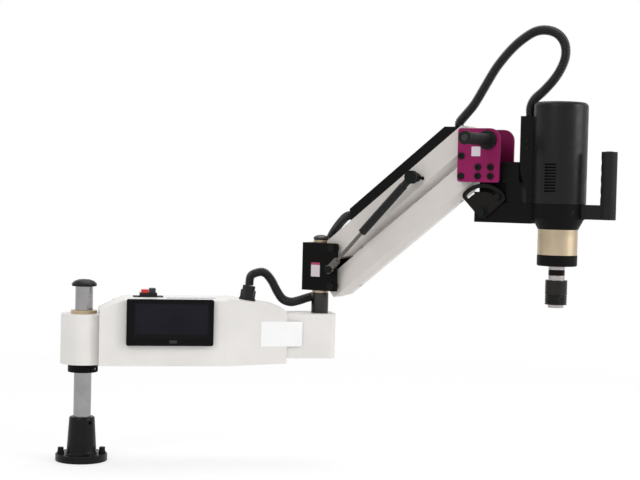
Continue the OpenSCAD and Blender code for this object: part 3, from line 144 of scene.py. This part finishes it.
class Paint:
    """A material's tree. Steady values are set on the shader's own sockets."""

    def __init__(self, name, colour, roughness, metallic=0.0, **steady):
        self.material = bpy.data.materials.new(name)
        self.material.use_nodes = True
        self.tree = self.material.node_tree
        self.shader = self.tree.nodes["Principled BSDF"]
        self.set("Base Color", (*colour, 1))
        self.set("Roughness", roughness)
        self.set("Metallic", metallic)
        for socket, value in steady.items():
            self.set(socket.replace("_", " "), value)

    def set(self, socket, value):
        if isinstance(value, Wire):
            self.tree.links.new(value.socket, self.shader.inputs[socket])
        else:
            self.shader.inputs[socket].default_value = value

    def node(self, kind, settings=None, sockets=None, out=0):
        made = self.tree.nodes.new(kind)
        for key, value in (settings or {}).items():
            setattr(made, key, value)
        for key, value in (sockets or {}).items():
            if isinstance(value, Wire):
                self.tree.links.new(value.socket, made.inputs[key])
            else:
                made.inputs[key].default_value = value
        return Wire(self, made.outputs[out])

    def where(self, centre=(0, 0, 0), scale=(1, 1, 1)):
        """Object coordinates, centred and scaled."""
        spot = self.node("ShaderNodeTexCoord", out=3)
        moved = self.node("ShaderNodeVectorMath", {"operation": "SUBTRACT"}, {0: spot, 1: centre})
        return self.node("ShaderNodeMapping", {"vector_type": "POINT"}, {"Vector": moved, "Scale": scale})

    def axes(self, spot):
        parts = self.node("ShaderNodeSeparateXYZ", sockets={0: spot})
        return [Wire(self, output) for output in parts.socket.node.outputs]

    def noise(self, spot, scale, detail=2.0, rough=0.5):
        return self.node("ShaderNodeTexNoise",
            sockets={"Vector": spot, "Scale": scale, "Detail": detail, "Roughness": rough})

    def blend(self, factor, first, second):
        """A colour between two colours."""
        mixed = self.node("ShaderNodeMix", {"data_type": "RGBA"}, {"Factor": factor}, out=2)
        for socket, value in zip(("A", "B"), (first, second)):
            inputs = [i for i in mixed.socket.node.inputs if i.name == socket and i.type == "RGBA"]
            if isinstance(value, Wire):
                self.tree.links.new(value.socket, inputs[0])
            else:
                inputs[0].default_value = (*value, 1)
        return mixed

    def step(self, value, low, high, low_out=0.0, high_out=1.0):
        return self.node("ShaderNodeMapRange", {"clamp": True},
            {"Value": value, "From Min": low, "From Max": high, "To Min": low_out, "To Max": high_out})

    def rough(self, cloud, low, high):
        """Roughness that wanders from low to high with a noise."""
        self.set("Roughness", self.step(cloud, *CLOUD, low, high))

    def bump(self, height, strength, distance):
        self.set("Normal", self.node("ShaderNodeBump",
            sockets={"Height": height, "Strength": strength, "Distance": distance}))


print("wires and paints ready")

# %% [markdown]
# ## Light and floor
# The machine stood in front of white paper under wide soft lamps. Three area lamps give
# the long soft streaks on the column and the motor cover. The world and the floor look
# white to the camera and in reflections, but light the machine only at a plain level,
# and the floor keeps a soft shadow under the base.

# %% Lamps and world
def lamp(name, spot, target, size, watts):
    data = bpy.data.lights.new(name, "AREA")
    data.shape, data.size, data.energy = "SQUARE", size, watts
    made = bpy.data.objects.new(name, data)
    bpy.context.collection.objects.link(made)
    made.location = spot
    made.rotation_euler = (Vector(target) - Vector(spot)).to_track_quat("-Z", "Y").to_euler()
    return made


# Name, place, side of the square and power
lamps = (
    ("key_lamp", (-1.6, -2.6, 2.4), 1.6, 36),
    ("side_lamp", (3.2, -1.6, 1.6), 1.6, 56),
    ("top_lamp", (0.5, 0.6, 3.2), 2.2, 44),
)
for name, spot, size, watts in lamps:
    lamp(name, spot, (0.5, -0.15, 0.5), size, watts)


def seen_directly(paint):
    """1 for rays from the camera, a mirror or glass; 0 for the rest."""
    path = paint.node("ShaderNodeLightPath").socket.node
    kinds = ("Is Camera Ray", "Is Glossy Ray", "Is Transmission Ray")
    rays = [Wire(paint, path.outputs[kind]) for kind in kinds]
    return paint.node("ShaderNodeMath", {"operation": "MINIMUM"}, {0: rays[0] + rays[1] + rays[2], 1: 1.0})


world = bpy.data.worlds.new("white_room")
world.use_nodes = True
bpy.context.scene.world = world


class Room(Paint):
    """The world's tree, worked like a paint's."""

    def __init__(self, tree):
        self.tree = tree
        self.shader = tree.nodes["Background"]


# What the white room and the paper give as light, where white is 1
ROOM_LIGHT, PAPER_GLOW = 0.62, 0.62
room = Room(world.node_tree)
room.set("Color", (1, 1, 1, 1))
room.set("Strength", room.step(seen_directly(room), 0, 1, ROOM_LIGHT, 1.0))
bpy.context.scene.view_settings.view_transform = "Standard"

# %% The floor
FLOOR_CENTRE, FLOOR_RADIUS, GLOW_FROM, GLOW_FULL = (0.5, 0, 0), 9, 0.9, 2.2
bpy.ops.mesh.primitive_circle_add(vertices=96, radius=FLOOR_RADIUS, fill_type="NGON", location=FLOOR_CENTRE)
floor = bpy.context.object
floor.name = "floor"
paper = Paint("paper", (0.86, 0.86, 0.86), 0.9)
glow = paper.node("ShaderNodeEmission", sockets={"Color": (1, 1, 1, 1), "Strength": 1.0})
spot = paper.where(FLOOR_CENTRE)
distance = paper.node("ShaderNodeVectorMath", {"operation": "LENGTH"}, {0: spot}, out=1)
share = paper.step(distance, GLOW_FROM, GLOW_FULL, PAPER_GLOW, 1.0) * seen_directly(paper)
plain = Wire(paper, paper.shader.outputs[0])
mixed = paper.node("ShaderNodeMixShader", sockets={0: share, 1: plain, 2: glow})
paper.tree.links.new(mixed.socket, paper.tree.nodes["Material Output"].inputs["Surface"])
floor.data.transform(floor.matrix_world)
floor.matrix_world = Matrix.Identity(4)
floor.data.materials.append(paper.material)
print("floor and lamps placed")

# %% [markdown]
# ## Finishes
# Enamel and powder paint show a faint orange-peel bump under a satin gloss. Moulded
# plastic is duller, with a fine spark grain. Ground and turned steel show lines that run
# round the bar, so their noise is squeezed along the axis. Each finish is a function, so
# that pieces of one kind match and differ only in colour. Black paint is kept deep by a
# low specular level, because a white room is mirrored in all of it.

# %% Painted, moulded and metal finishes
# How far a bump rises: paint, moulded plastic and cut steel, in metres
PAINT_BUMP, PLASTIC_BUMP, STEEL_BUMP = 0.0004, 0.0003, 0.0002


def enamel(name, colour, roughness=0.35, grain=900, depth=0.10, coat=0.0, shine=0.5):
    paint = Paint(name, colour, roughness, Coat_Roughness=0.2, Specular_IOR_Level=shine)
    spot = paint.where()
    cloud = paint.noise(spot, 9, 3)
    darker = tuple(0.93 * part for part in colour)
    paint.set("Base Color", paint.blend(paint.step(cloud, 0.35, 0.65), colour, darker))
    paint.rough(paint.noise(spot, 40, 2), roughness - 0.04, roughness + 0.06)
    paint.set("Coat Weight", coat)
    paint.bump(paint.noise(spot, grain, 2), depth, PAINT_BUMP)
    return paint.material


def moulded(name, colour, roughness=0.5, grain=2600, depth=0.25, shine=0.16):
    paint = Paint(name, colour, roughness, Specular_IOR_Level=shine)
    spot = paint.where()
    speck = paint.noise(spot, grain, 2, 0.6)
    lighter = tuple(1.5 * part for part in colour)
    paint.set("Base Color", paint.blend(paint.step(speck, 0.4, 0.7), colour, lighter))
    paint.rough(paint.noise(spot, 55, 3), roughness - 0.07, roughness + 0.07)
    paint.bump(speck, depth, PLASTIC_BUMP)
    return paint.material


def turned(name, colour, roughness=0.25, lines=2400, depth=0.12):
    """Steel off a lathe or grinder: fine lines round the upright axis."""
    paint = Paint(name, colour, roughness, 1.0)
    streak = paint.noise(paint.where(scale=(6, 6, lines)), 1.0, 2, 0.6)
    cloud = paint.noise(paint.where(), 22, 3)
    darker = tuple(0.82 * part for part in colour)
    paint.set("Base Color", paint.blend(paint.step(cloud, 0.35, 0.7), colour, darker))
    paint.rough(streak, roughness - 0.08, roughness + 0.10)
    paint.bump(streak, depth, STEEL_BUMP)
    return paint.material


def brushed(name, colour, roughness=0.35, metallic=1.0, shine=0.5):
    """Cut or plated steel with a fine even grain and a few dull marks."""
    paint = Paint(name, colour, roughness, metallic, Specular_IOR_Level=shine)
    fine = paint.noise(paint.where(scale=(900, 200, 900)), 1.0, 2)
    marks = paint.noise(paint.where(), 60, 4, 0.65)
    darker = tuple(0.75 * part for part in colour)
    paint.set("Base Color", paint.blend(paint.step(marks, 0.5, 0.75), colour, darker))
    paint.rough(marks, roughness - 0.06, roughness + 0.12)
    paint.bump(fine, 0.15, STEEL_BUMP)
    return paint.material


BLACK = (0.0058, 0.0056, 0.0055)
WHITE = (0.72, 0.70, 0.675)
finishes = {
    "arm paint": enamel("arm_paint", WHITE, 0.38, coat=0.1),
    "beam paint": enamel("beam_paint", (0.60, 0.565, 0.535), 0.38, coat=0.1),
    "base enamel": enamel("base_enamel", (0.007, 0.007, 0.0075), 0.30, 420, 0.22, coat=0.04, shine=0.10),
    "block black": enamel("block_black", BLACK, 0.42, grain=1500, depth=0.14, shine=0.05),
    "magenta": enamel("magenta_enamel", (0.250, 0.010, 0.088), 0.42, grain=800, shine=0.12),
    # The rear head plate has the front plate's magenta paint, made darker as painted shade for the plate
    # behind
    "magenta rear": enamel("magenta_rear_painted_shade", (0.20, 0.008, 0.07), 0.44, grain=800, shine=0.12),
    "motor black": moulded("motor_black", (0.006, 0.006, 0.0058), 0.34, grain=1900, depth=0.10, shine=0.16),
    "cover black": moulded("cover_black", (0.0056, 0.0055, 0.0054), 0.48, shine=0.05),
    "grip black": moulded("grip_black", (0.008, 0.008, 0.0085), 0.62, grain=1400, depth=0.5),
    "bezel black": moulded("bezel_black", (0.005, 0.005, 0.0055), 0.36, grain=3000, depth=0.12, shine=0.04),
    "switch black": moulded("switch_black", (0.012, 0.012, 0.0125), 0.45),
    "column steel": turned("column_steel", (0.34, 0.335, 0.335), 0.22),
    "post steel": turned("post_steel", (0.052, 0.050, 0.048), 0.28, lines=1500),
    "gold steel": turned("gold_steel", (0.50, 0.405, 0.285), 0.36, lines=1300, depth=0.2),
    "bush bronze": turned("bush_bronze", (0.52, 0.41, 0.27), 0.33, lines=1100),
    "spring black": enamel("spring_black", (0.007, 0.007, 0.0075), 0.26, 1200, 0.05, shine=0.20),
    "rod steel": brushed("rod_steel", (0.13, 0.12, 0.11), 0.22),
    "bolt black": brushed("bolt_black", (0.009, 0.010, 0.010), 0.40, 0.4, 0.10),
    "plated steel": brushed("plated_steel", (0.36, 0.36, 0.36), 0.34),
    "dark steel": brushed("dark_steel", (0.011, 0.010, 0.009), 0.42, 0.4, 0.10),
    "case grey": brushed("case_grey", (0.16, 0.165, 0.17), 0.45),
    "iron": brushed("winding_iron", (0.009, 0.008, 0.007), 0.5, 0.4, 0.05),
}
print("finishes:", len(finishes))

# %% [markdown]
# ## The chuck sleeve and the spindle's neck
# The sleeve is gripped by hand, so its lower half is cut in rings and finely knurled.
# The knurl is a bump of two crossed waves round the axis: an angle from Arctangent and
# the height make the two slants, without a single extra face. The neck above it is
# bright steel with a dark band between its two grooves, cut out of the height.

# %% Knurled steel
# Waves of the knurl to a metre, in radians, and the height up to which it is cut
KNURL_WAVES, KNURL_TOP, KNURL_FADE = 2600, 0.3990, 0.0010


def knurled(name, colour, centre, radius):
    paint = Paint(name, colour, 0.34, 1.0)
    x, y, z = paint.axes(paint.where(centre=centre))
    angle = paint.node("ShaderNodeMath", {"operation": "ARCTAN2"}, {0: y, 1: x})
    around, along = angle * (radius * KNURL_WAVES), z * KNURL_WAVES
    slants = (around + along, around - along)
    waves = [paint.node("ShaderNodeMath", {"operation": "SINE"}, {0: slant}) for slant in slants]
    height = paint.node("ShaderNodeMath", {"operation": "MAXIMUM"}, {0: waves[0], 1: waves[1]})
    band = paint.step(z, KNURL_TOP, KNURL_TOP + KNURL_FADE, 1.0, 0.0)
    # Painted shade: the knurl's ridges are coloured darker than the pits between them, down to half,
    # following the bump's height
    darker = tuple(0.5 * part for part in colour)
    paint.set("Base Color", paint.blend(paint.step(height * band, 0.0, 0.9), colour, darker))
    paint.rough(paint.noise(paint.where(), 300, 3), 0.26, 0.44)
    paint.bump(height * band, 0.5, PLASTIC_BUMP)
    return paint.material


low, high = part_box("chuck_sleeve")
axis_point = ((low.x + high.x) / 2, (low.y + high.y) / 2, 0)
sleeve_radius = (high.x - low.x) / 2
finishes["sleeve steel"] = knurled("sleeve_steel", (0.028, 0.027, 0.026), axis_point, sleeve_radius)


def banded(name, colour, dark, low_z, high_z):
    """Turned steel with a dark band between two heights."""
    paint = Paint(name, colour, 0.24, 1.0)
    z = paint.axes(paint.where())[2]
    band = (z > low_z) * (z < high_z)
    paint.set("Base Color", paint.blend(band, colour, dark))
    lines = paint.noise(paint.where(scale=(6, 6, 1800)), 1.0, 2, 0.6)
    paint.rough(lines, 0.18, 0.34)
    paint.bump(lines, 0.12, STEEL_BUMP)
    return paint.material


# Where the dark band lies, as shares of the neck's height
BAND_LOW, BAND_HIGH = 0.33, 0.74
neck_low, neck_high = high.z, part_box("gearbox_nose")[0].z
neck = neck_high - neck_low
finishes["spindle steel"] = banded("spindle_steel", (0.42, 0.39, 0.38), (0.012, 0.009, 0.008),
    neck_low + BAND_LOW * neck, neck_low + BAND_HIGH * neck)
print("neck", round(neck * 1000, 1), "mm")
print("knurl round", [round(part, 4) for part in axis_point])

# %% [markdown]
# ## The screen
# The display is switched off: dark glass with a picture area that is a shade bluer than
# its black rim. The area's edge comes from the larger of the two distances from the
# glass's centre, and the coat on top gives the sharp reflection.

# %% Screen glass
# The picture area as shares of the glass, how far it sits up, and where its edge starts
LIT_WIDE, LIT_HIGH, LIT_LIFT, LIT_EDGE = 0.94, 0.80, 0.003, 0.985
low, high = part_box("screen_glass")
screen = Paint("screen_dark", (0.004, 0.0045, 0.007), 0.14, Specular_IOR_Level=0.05)
centre = (low + high) / 2
x, y, z = screen.axes(screen.where(centre=tuple(centre)))
half = (high - low) / 2
across = screen.node("ShaderNodeMath", {"operation": "ABSOLUTE"}, {0: x / (half.x * LIT_WIDE)})
upward = screen.node("ShaderNodeMath", {"operation": "ABSOLUTE"}, {0: (z - LIT_LIFT) / (half.z * LIT_HIGH)})
edge = screen.node("ShaderNodeMath", {"operation": "MAXIMUM"}, {0: across, 1: upward})
lit = screen.step(edge, LIT_EDGE, 1.0, 1.0, 0.0)
haze = screen.noise(screen.where(scale=(9, 1, 16)), 1.0, 2)
blue = screen.blend(screen.step(haze, 0.3, 0.75), (0.006, 0.006, 0.010), (0.012, 0.010, 0.016))
screen.set("Base Color", screen.blend(lit, (0.004, 0.004, 0.005), blue))
screen.set("Coat Weight", 0.08)
screen.set("Coat Roughness", 0.03)
finishes["screen"] = screen.material


def glossy(name, colour, roughness=0.22):
    paint = Paint(name, colour, roughness, Coat_Weight=0.2, Coat_Roughness=0.08, Specular_IOR_Level=0.3)
    scuff = paint.noise(paint.where(), 260, 3, 0.6)
    paint.set("Roughness", paint.step(scuff, 0.3, 0.75, roughness - 0.05, roughness + 0.12))
    paint.bump(scuff, 0.06, STEEL_BUMP)
    return paint.material


finishes["red button"] = glossy("red_button", (0.62, 0.02, 0.015))
finishes["dark button"] = glossy("dark_button", (0.014, 0.014, 0.015))
print("screen and buttons ready")

# %% [markdown]
# ## Softened solids
# A solid from CAD has edges with no radius, and such an edge never catches light. Each
# solid that shows is copied, its coplanar triangles are joined into whole faces, and a
# small bevel with hardened normals rounds what is sharper than 30 degrees. The copy
# stands for the solid and moves with its body.

# %% The table of finishes, edge radii in millimetres and material slots
solids = {
    "base_flange": ("base enamel", 1.0, "black enamel"),
    "base_screws": ("bolt black", 0.4, "base screws"),
    "column": ("column steel", 0.4, "ground column"),
    "column_cap": ("motor black", 0.8, "column cap"),
    "height_collar": ("block black", 0.6, "black collar"),
    "collar_screw": ("plated steel", 0.3, "collar screw"),
    "arm_hub": ("arm paint", 0.8, "white hub paint"),
    "arm_body": ("arm paint", 1.2, "white arm paint"),
    "arm_cover": ("arm paint", 0.5, "white cover paint"),
    "column_bushes": ("bush bronze", 0.4, "bush bronze"),
    "screen_bezel": ("bezel black", 0.9, "bezel plastic"),
    "screen_glass": ("screen", 0.3, "screen glass"),
    "switch_plate": ("switch black", 0.6, "switch plastic"),
    "hose_gland": ("switch black", 0.6, "gland plastic"),
    "post": ("post steel", 0.4, "dark post steel"),
    "post_cap": ("post steel", 0.7, "post cap steel"),
    "stop_button": ("red button", 1.0, "red button"),
    "start_button": ("dark button", 1.0, "dark button"),
    "pivot_block": ("block black", 1.0, "block black"),
    "post_bushes": ("gold steel", 0.4, "post bronze"),
    "near_pins": ("bolt black", 0.5, "pin steel"),
    "upper_beam": ("beam paint", 1.4, "beam paint"),
    "upper_beam_bushes": ("bush bronze", 0.15, "beam bronze"),
    "cable_cover": ("cover black", 1.6, "cover black"),
    "spring_stud": ("bolt black", 0.4, "stud steel"),
    "lower_beam": ("beam paint", 1.4, "lower beam paint"),
    "lower_beam_bushes": ("bush bronze", 0.15, "lower bronze"),
    "spring_rod": ("rod steel", 0.5, "spring rod chrome"),
    "spring_cylinder": ("spring black", 0.8, "spring cylinder paint"),
    "head_plate_front": ("magenta", 0.7, "magenta paint"),
    # The rear plate's darker magenta is painted shade
    "head_plate_rear": ("magenta rear", 0.7, "magenta rear paint"),
    "spacer_bars": ("dark steel", 0.4, "spacer steel"),
    "far_pins": ("bolt black", 0.5, "far pin steel"),
    "plate_bolts": ("bolt black", 0.5, "black bolts"),
    "head_block": ("block black", 1.0, "head block black"),
    "side_grip": ("grip black", 1.0, "grip rubber"),
    "pivot_bolt": ("bolt black", 0.5, "pivot bolt steel"),
    "sector_plate": ("dark steel", 0.5, "sector steel"),
    "side_button": ("dark button", 0.8, "side button plastic"),
    "tilt_bracket": ("block black", 0.8, "bracket black"),
    "tilt_screws": ("bolt black", 0.4, "tilt screw steel"),
    "motor_flange": ("block black", 0.9, "flange black"),
    "motor_cover": ("motor black", 0.8, "cover plastic"),
    "cable_box": ("cover black", 1.2, "cable box plastic"),
    "gearbox_ring": ("gold steel", 0.5, "gold ring"),
    "gearbox_nose": ("block black", 0.8, "nose black"),
    "end_handle": ("grip black", 1.5, "handle plastic"),
    "end_button": ("dark button", 0.8, "thumb button"),
    "spindle": ("spindle steel", 0.4, "spindle steel"),
    "chuck_sleeve": ("sleeve steel", 0.5, "sleeve steel"),
}
hidden_solids = {
    "servo_drive": "case grey",
    "motor_stator": "iron",
    "motor_rotor": "dark steel",
    "planet_gear_1": "plated steel",
    "planet_gear_2": "plated steel",
    "planet_gear_3": "plated steel",
    "spindle_bearings": "plated steel",
}
body_of = {}
for body, members in frame["record"]["behaviour"]["bodies"].items():
    for member in members:
        body_of[member] = body
print("solids with soft edges:", len(solids), "inside:", len(hidden_solids))

# %% Copy and soften
FLAT = math.radians(0.4)
SHARP = math.radians(30)


def soften(mesh):
    """Joins the copy's loose triangles into whole flat faces, and marks its sharp edges."""
    work = bmesh.new()
    work.from_mesh(mesh)
    bmesh.ops.remove_doubles(work, verts=work.verts, dist=1e-6)
    bmesh.ops.dissolve_limit(work, angle_limit=FLAT, verts=work.verts, edges=work.edges)
    work.to_mesh(mesh)
    work.free()
    for face in mesh.polygons:
        face.use_smooth = True
    mesh.set_sharp_from_angle(angle=SHARP)


def stand_in(node, finish, edge, slot):
    mesh = frame["nodes"][node].data.copy()
    mesh.name = "soft_" + node
    mesh.materials.clear()
    mesh.materials.append(finishes[finish])
    soften(mesh)
    piece = bpy.data.objects.new("soft_" + node, mesh)
    bpy.context.collection.objects.link(piece)
    rounder = piece.modifiers.new("round", "BEVEL")
    rounder.width, rounder.segments = edge / 1000, 2
    rounder.limit_method, rounder.angle_limit = "ANGLE", SHARP
    rounder.harden_normals = True
    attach(piece, body_of[node])
    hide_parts(node)
    return piece


pieces = {node: stand_in(node, *row) for node, row in solids.items()}
for node, finish in hidden_solids.items():
    for place in frame["nodes"][node].material_slots:
        place.material = finishes[finish]
faces = sum(len(piece.data.polygons) for piece in pieces.values())
print("softened:", len(pieces), "pieces,", faces, "faces before their bevels")

# %% [markdown]
# ## The ribbed hoses
# The cables run in ribbed plastic hose: from the gland to the turning block, on to the
# upper beam, and from the beam's far end over the head to the cable box. The routes are
# the same points as in the CAD source, in metres, with a smooth line through them. The
# hose is one ring of vertices drawn along that line, thicker and thinner by turns. The
# long hose crosses two joints, so it is made in two lengths that meet at its top.

# %% Routes in the row frame
def metres(points):
    return [Vector(point) / 1000 for point in points]


POST = Vector((0.520, 0, 0))
arm_turn = Matrix.Rotation(math.radians(-39.5), 4, "Z")


def on_arm(points):
    """Points measured out along the link arm, brought into the row frame."""
    return [POST + arm_turn @ point for point in metres(points)]


lower_route = metres([(360.47, 0, 385.5), (363.16, 0, 405.3), (376, 0, 413), (393, 0, 414),
    (409, 1, 398), (423, 2, 373), (437, 6, 355), (456, 15, 348), (475, 27, 350), (495, 38, 355),
    (515, 47, 360), (533, 52, 368), (543, 48, 382)])
lower_route += on_arm([(-8, 51.5, 398), (-8, 51.5, 416.8)])
middle_route = on_arm([(-8, 51.5, 445.2), (-8, 51.5, 464), (-7, 51, 484), (1, 49, 500), (15, 42, 515),
    (37, 25, 531), (60.9, 8, 543.7), (80.7, 8, 546.4)])
upper_route = on_arm([(327.7, 0, 740.9), (327.8, 0, 748.9), (334, 0, 757), (346, 0, 770), (362, 0, 789),
    (383, 0, 823), (397, 0, 846), (411, 0, 867), (436, 0, 896), (461, 0, 918), (490, 0, 935), (515, 0, 938),
    (538, 0, 931), (554, 0, 914), (559, 0, 892), (554, 0, 868), (538, 0, 840), (514, 0, 814), (495, 0, 797),
    (486.8, 0, 781), (486.8, 0, 762.2)])
print("route points:", len(lower_route), len(middle_route), len(upper_route))

# %% An even line through the points
def smooth_line(route, steps=8):
    """A Catmull-Rom line through the points, and the length run up to each of its points."""
    line = []
    for i in range(len(route) - 1):
        a, b, c, d = route[max(i - 1, 0)], route[i], route[i + 1], route[min(i + 2, len(route) - 1)]
        for k in range(steps):
            t = k / steps
            square, cube = 2 * a - 5 * b + 4 * c - d, 3 * b - a - 3 * c + d
            line.append(0.5 * (2 * b + t * (c - a) + t * t * square + t * t * t * cube))
    line.append(route[-1])
    run = [0.0]
    for first, second in zip(line, line[1:]):
        run.append(run[-1] + (second - first).length)
    return line, run


def point_at(line, run, length):
    """The point that lies this far along the line."""
    i = 0
    while i < len(run) - 2 and run[i + 1] < length:
        i += 1
    share = (length - run[i]) / (run[i + 1] - run[i])
    return line[i].lerp(line[i + 1], min(max(share, 0), 1))


for title, route in (("lower", lower_route), ("middle", middle_route), ("upper", upper_route)):
    print(title, "hose:", round(smooth_line(route)[1][-1] * 1000, 1), "mm")

# %% Draw the ring along the line
HOSE_RADIUS, RIB_PITCH, SIDES, LOOK_AROUND = 0.0099, 0.003, 20, 0.002
# One rib: how far along its pitch, and how thick as a share of the radius
RIB_SHARES = ((0.0, 0.85), (0.14, 0.85), (0.28, 0.96), (0.38, 1.0), (0.66, 1.0), (0.76, 0.96), (0.90, 0.85))


def hose_rings(line, run, first, last):
    """How far along the line each ring lies, and how thick it is, from one length to another."""
    ribs = 2 * round(run[-1] / RIB_PITCH / 2)
    pitch = run[-1] / ribs
    rings = []
    for rib in range(ribs):
        for along, thick in RIB_SHARES:
            place = (rib + along) * pitch
            if first - 1e-6 <= place <= last + 1e-6:
                rings.append((place, thick))
    rings.append((min(last, run[-1]), RIB_SHARES[0][1]))
    return rings


def draw_hose(name, route, across, first_share=0.0, last_share=1.0):
    line, run = smooth_line(route)
    rings = hose_rings(line, run, first_share * run[-1], last_share * run[-1])
    work = bmesh.new()
    path, before = [], None
    edges = []
    for number, (place, thick) in enumerate(rings):
        centre = point_at(line, run, place)
        ahead = point_at(line, run, min(place + LOOK_AROUND, run[-1]))
        behind = point_at(line, run, max(place - LOOK_AROUND, 0))
        way = (ahead - behind).normalized()
        side = way.cross(across).normalized()
        radius = HOSE_RADIUS * thick
        here = Matrix((radius * side, radius * way.cross(side), way)).transposed().to_4x4()
        here.translation = centre
        if number == 0:
            bmesh.ops.create_circle(work, segments=SIDES, radius=1, matrix=here)
            edges = list(work.edges)
        else:
            made = bmesh.ops.extrude_edge_only(work, edges=edges)["geom"]
            ring = [part for part in made if isinstance(part, bmesh.types.BMVert)]
            edges = [part for part in made if isinstance(part, bmesh.types.BMEdge) and part.is_boundary]
            bmesh.ops.transform(work, matrix=here @ before.inverted(), verts=ring)
        before = here
        path.append(tuple(centre))
    bmesh.ops.holes_fill(work, edges=[edge for edge in work.edges if edge.is_boundary], sides=0)
    bmesh.ops.recalc_face_normals(work, faces=work.faces)
    mesh = bpy.data.meshes.new(name)
    work.to_mesh(mesh)
    work.free()
    for face in mesh.polygons:
        face.use_smooth = len(face.vertices) == 4
    mesh.materials.append(hose_plastic)
    piece = bpy.data.objects.new(name, mesh)
    bpy.context.collection.objects.link(piece)
    length = (last_share - first_share) * run[-1]
    print(name, len(mesh.polygons), "faces,", round(length * 1000, 1), "mm")
    return piece, path, length


hose_plastic = moulded("hose_plastic", (0.009, 0.009, 0.0095), 0.34, grain=1800, depth=0.10, shine=0.30)
box_side = Vector((0, 1, 0))
arm_side = arm_turn.to_3x3() @ box_side
TOP_SHARE = 0.5
lower_hose = draw_hose("ribbed_hose_lower", lower_route, box_side)
middle_hose = draw_hose("ribbed_hose_middle", middle_route, arm_side)
rising_hose = draw_hose("ribbed_hose_rising", upper_route, arm_side, 0.0, TOP_SHARE)
falling_hose = draw_hose("ribbed_hose_falling", upper_route, arm_side, TOP_SHARE, 1.0)

# %% [markdown]
# ## The hoses stay where they are drawn
# Each hose is held at both ends by bodies that turn against each other. Here each hose
# stays fixed in the row frame as drawn, and the CAD hose it stands for is hidden.

# %% Fix the hoses in place and hide the CAD hoses
def tie(hose, node):
    piece, path, length = hose
    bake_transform(piece)
    if node:
        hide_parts(node)


tie(lower_hose, "hose_lower")
tie(middle_hose, "hose_middle")
tie(rising_hose, "hose_upper")
tie(falling_hose, None)

# %% [markdown]
# ## Plates and trims
# A few thin pieces are glued or clipped on: the white name panel at the front of the arm,
# the catch under the screen, a small light sticker with a coloured band on the turning block
# and a plain one on the head plate. They are left bare here. A thin grey sheet on top of the
# box is a painted reflection of the room in the box's top. Each is a block with soft edges,
# set in its place by one matrix, so that a panel can follow the arm's taper.

# %% Thin plates
def plate(name, place, size, soft, material, body):
    """A block of this size with soft edges, turned and moved by its matrix."""
    work = bmesh.new()
    bmesh.ops.create_cube(work, size=1, matrix=place @ Matrix.Diagonal((*size, 1)))
    bmesh.ops.bevel(work, geom=list(work.edges), offset=soft, offset_type="OFFSET", affect="EDGES",
        segments=2, profile=0.5, material=-1)
    bmesh.ops.recalc_face_normals(work, faces=work.faces)
    mesh = bpy.data.meshes.new(name)
    work.to_mesh(mesh)
    work.free()
    mesh.materials.append(material)
    piece = bpy.data.objects.new(name, mesh)
    bpy.context.collection.objects.link(piece)
    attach(piece, body)
    print(name, [round(side * 1000, 1) for side in size], "mm on", body)


panel_white = enamel("panel_white", (0.86, 0.86, 0.86), 0.45)
# Painted reflection: this grey stands for the room mirrored in the box's top
painted_reflection_grey = moulded("painted_reflection_grey", (0.30, 0.31, 0.36), 0.30, shine=0.5)
sticker_white = enamel("sticker_white", (0.62, 0.55, 0.58), 0.5)
sticker_red = enamel("sticker_red", (0.36, 0.03, 0.09), 0.5)

# Width, depth and height of each piece, its edges, and where its middle lies
PANEL_SIZE, PANEL_SOFT, PANEL_X, PANEL_Z, PANEL_PROUD = (0.093, 0.0010, 0.055), 0.0003, 0.428, 0.282, 0.0004
REFLECTION_SHEET_SIZE, REFLECTION_SHEET_MIDDLE = (0.105, 0.026, 0.0008), (0.2295, -0.032, 0.3578)
CATCH_SIZE, CATCH_SOFT = (0.016, 0.003, 0.007), 0.0009
CATCH_IN, CATCH_SUNK, CATCH_UP = 0.087, 0.0004, 0.009
STICKER_SKIN, STICKER_SOFT = 0.0006, 0.0002

# The arm's front narrows from the box to its end, and the panel lies along it
BEND, END = Vector((0.308, -0.057, 0)), Vector((0.440, -0.047, 0))
taper = math.atan2(END.y - BEND.y, END.x - BEND.x)
panel_middle = BEND.lerp(END, (PANEL_X - BEND.x) / (END.x - BEND.x)) + Vector((0, -PANEL_PROUD, PANEL_Z))
along_arm = Matrix.Translation(panel_middle) @ Matrix.Rotation(taper, 4, "Z")
plate("name_panel", along_arm, PANEL_SIZE, PANEL_SOFT, panel_white, "arm")
# A thin grey sheet on the box's top, laid there as a painted reflection
reflection_sheet_place = Matrix.Translation(REFLECTION_SHEET_MIDDLE)
plate("painted_reflection_sheet", reflection_sheet_place, REFLECTION_SHEET_SIZE, PANEL_SOFT, painted_reflection_grey, "arm")

low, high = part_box("screen_bezel")
catch_place = Matrix.Translation((high.x - CATCH_IN, low.y + CATCH_SUNK, low.z + CATCH_UP))
plate("screen_catch", catch_place, CATCH_SIZE, CATCH_SOFT, finishes["dark button"], "arm")

# On the turning block and the head plate, measured out along the link arm
link_arm = Matrix.Translation(POST) @ arm_turn
block_label = link_arm @ Matrix.Translation((0.009, -0.0397, 0.4215))
band_label = block_label @ Matrix.Translation((0, 0, 0.0157))
plate_label = link_arm @ Matrix.Translation((0.3845, -0.0407, 0.6875))
# Name, place, width, height, paint, slot and body
stickers = (
    ("block_sticker", block_label, 0.022, 0.026, sticker_white, "block black", "turning_block"),
    ("sticker_band", band_label, 0.022, 0.005, sticker_red, "block black", "turning_block"),
    ("plate_sticker", plate_label, 0.020, 0.020, sticker_white, "magenta paint", "carrier"),
)
for name, place, width, height, paint, slot, body in stickers:
    plate(name, place, (width, STICKER_SKIN, height), STICKER_SOFT, paint, body)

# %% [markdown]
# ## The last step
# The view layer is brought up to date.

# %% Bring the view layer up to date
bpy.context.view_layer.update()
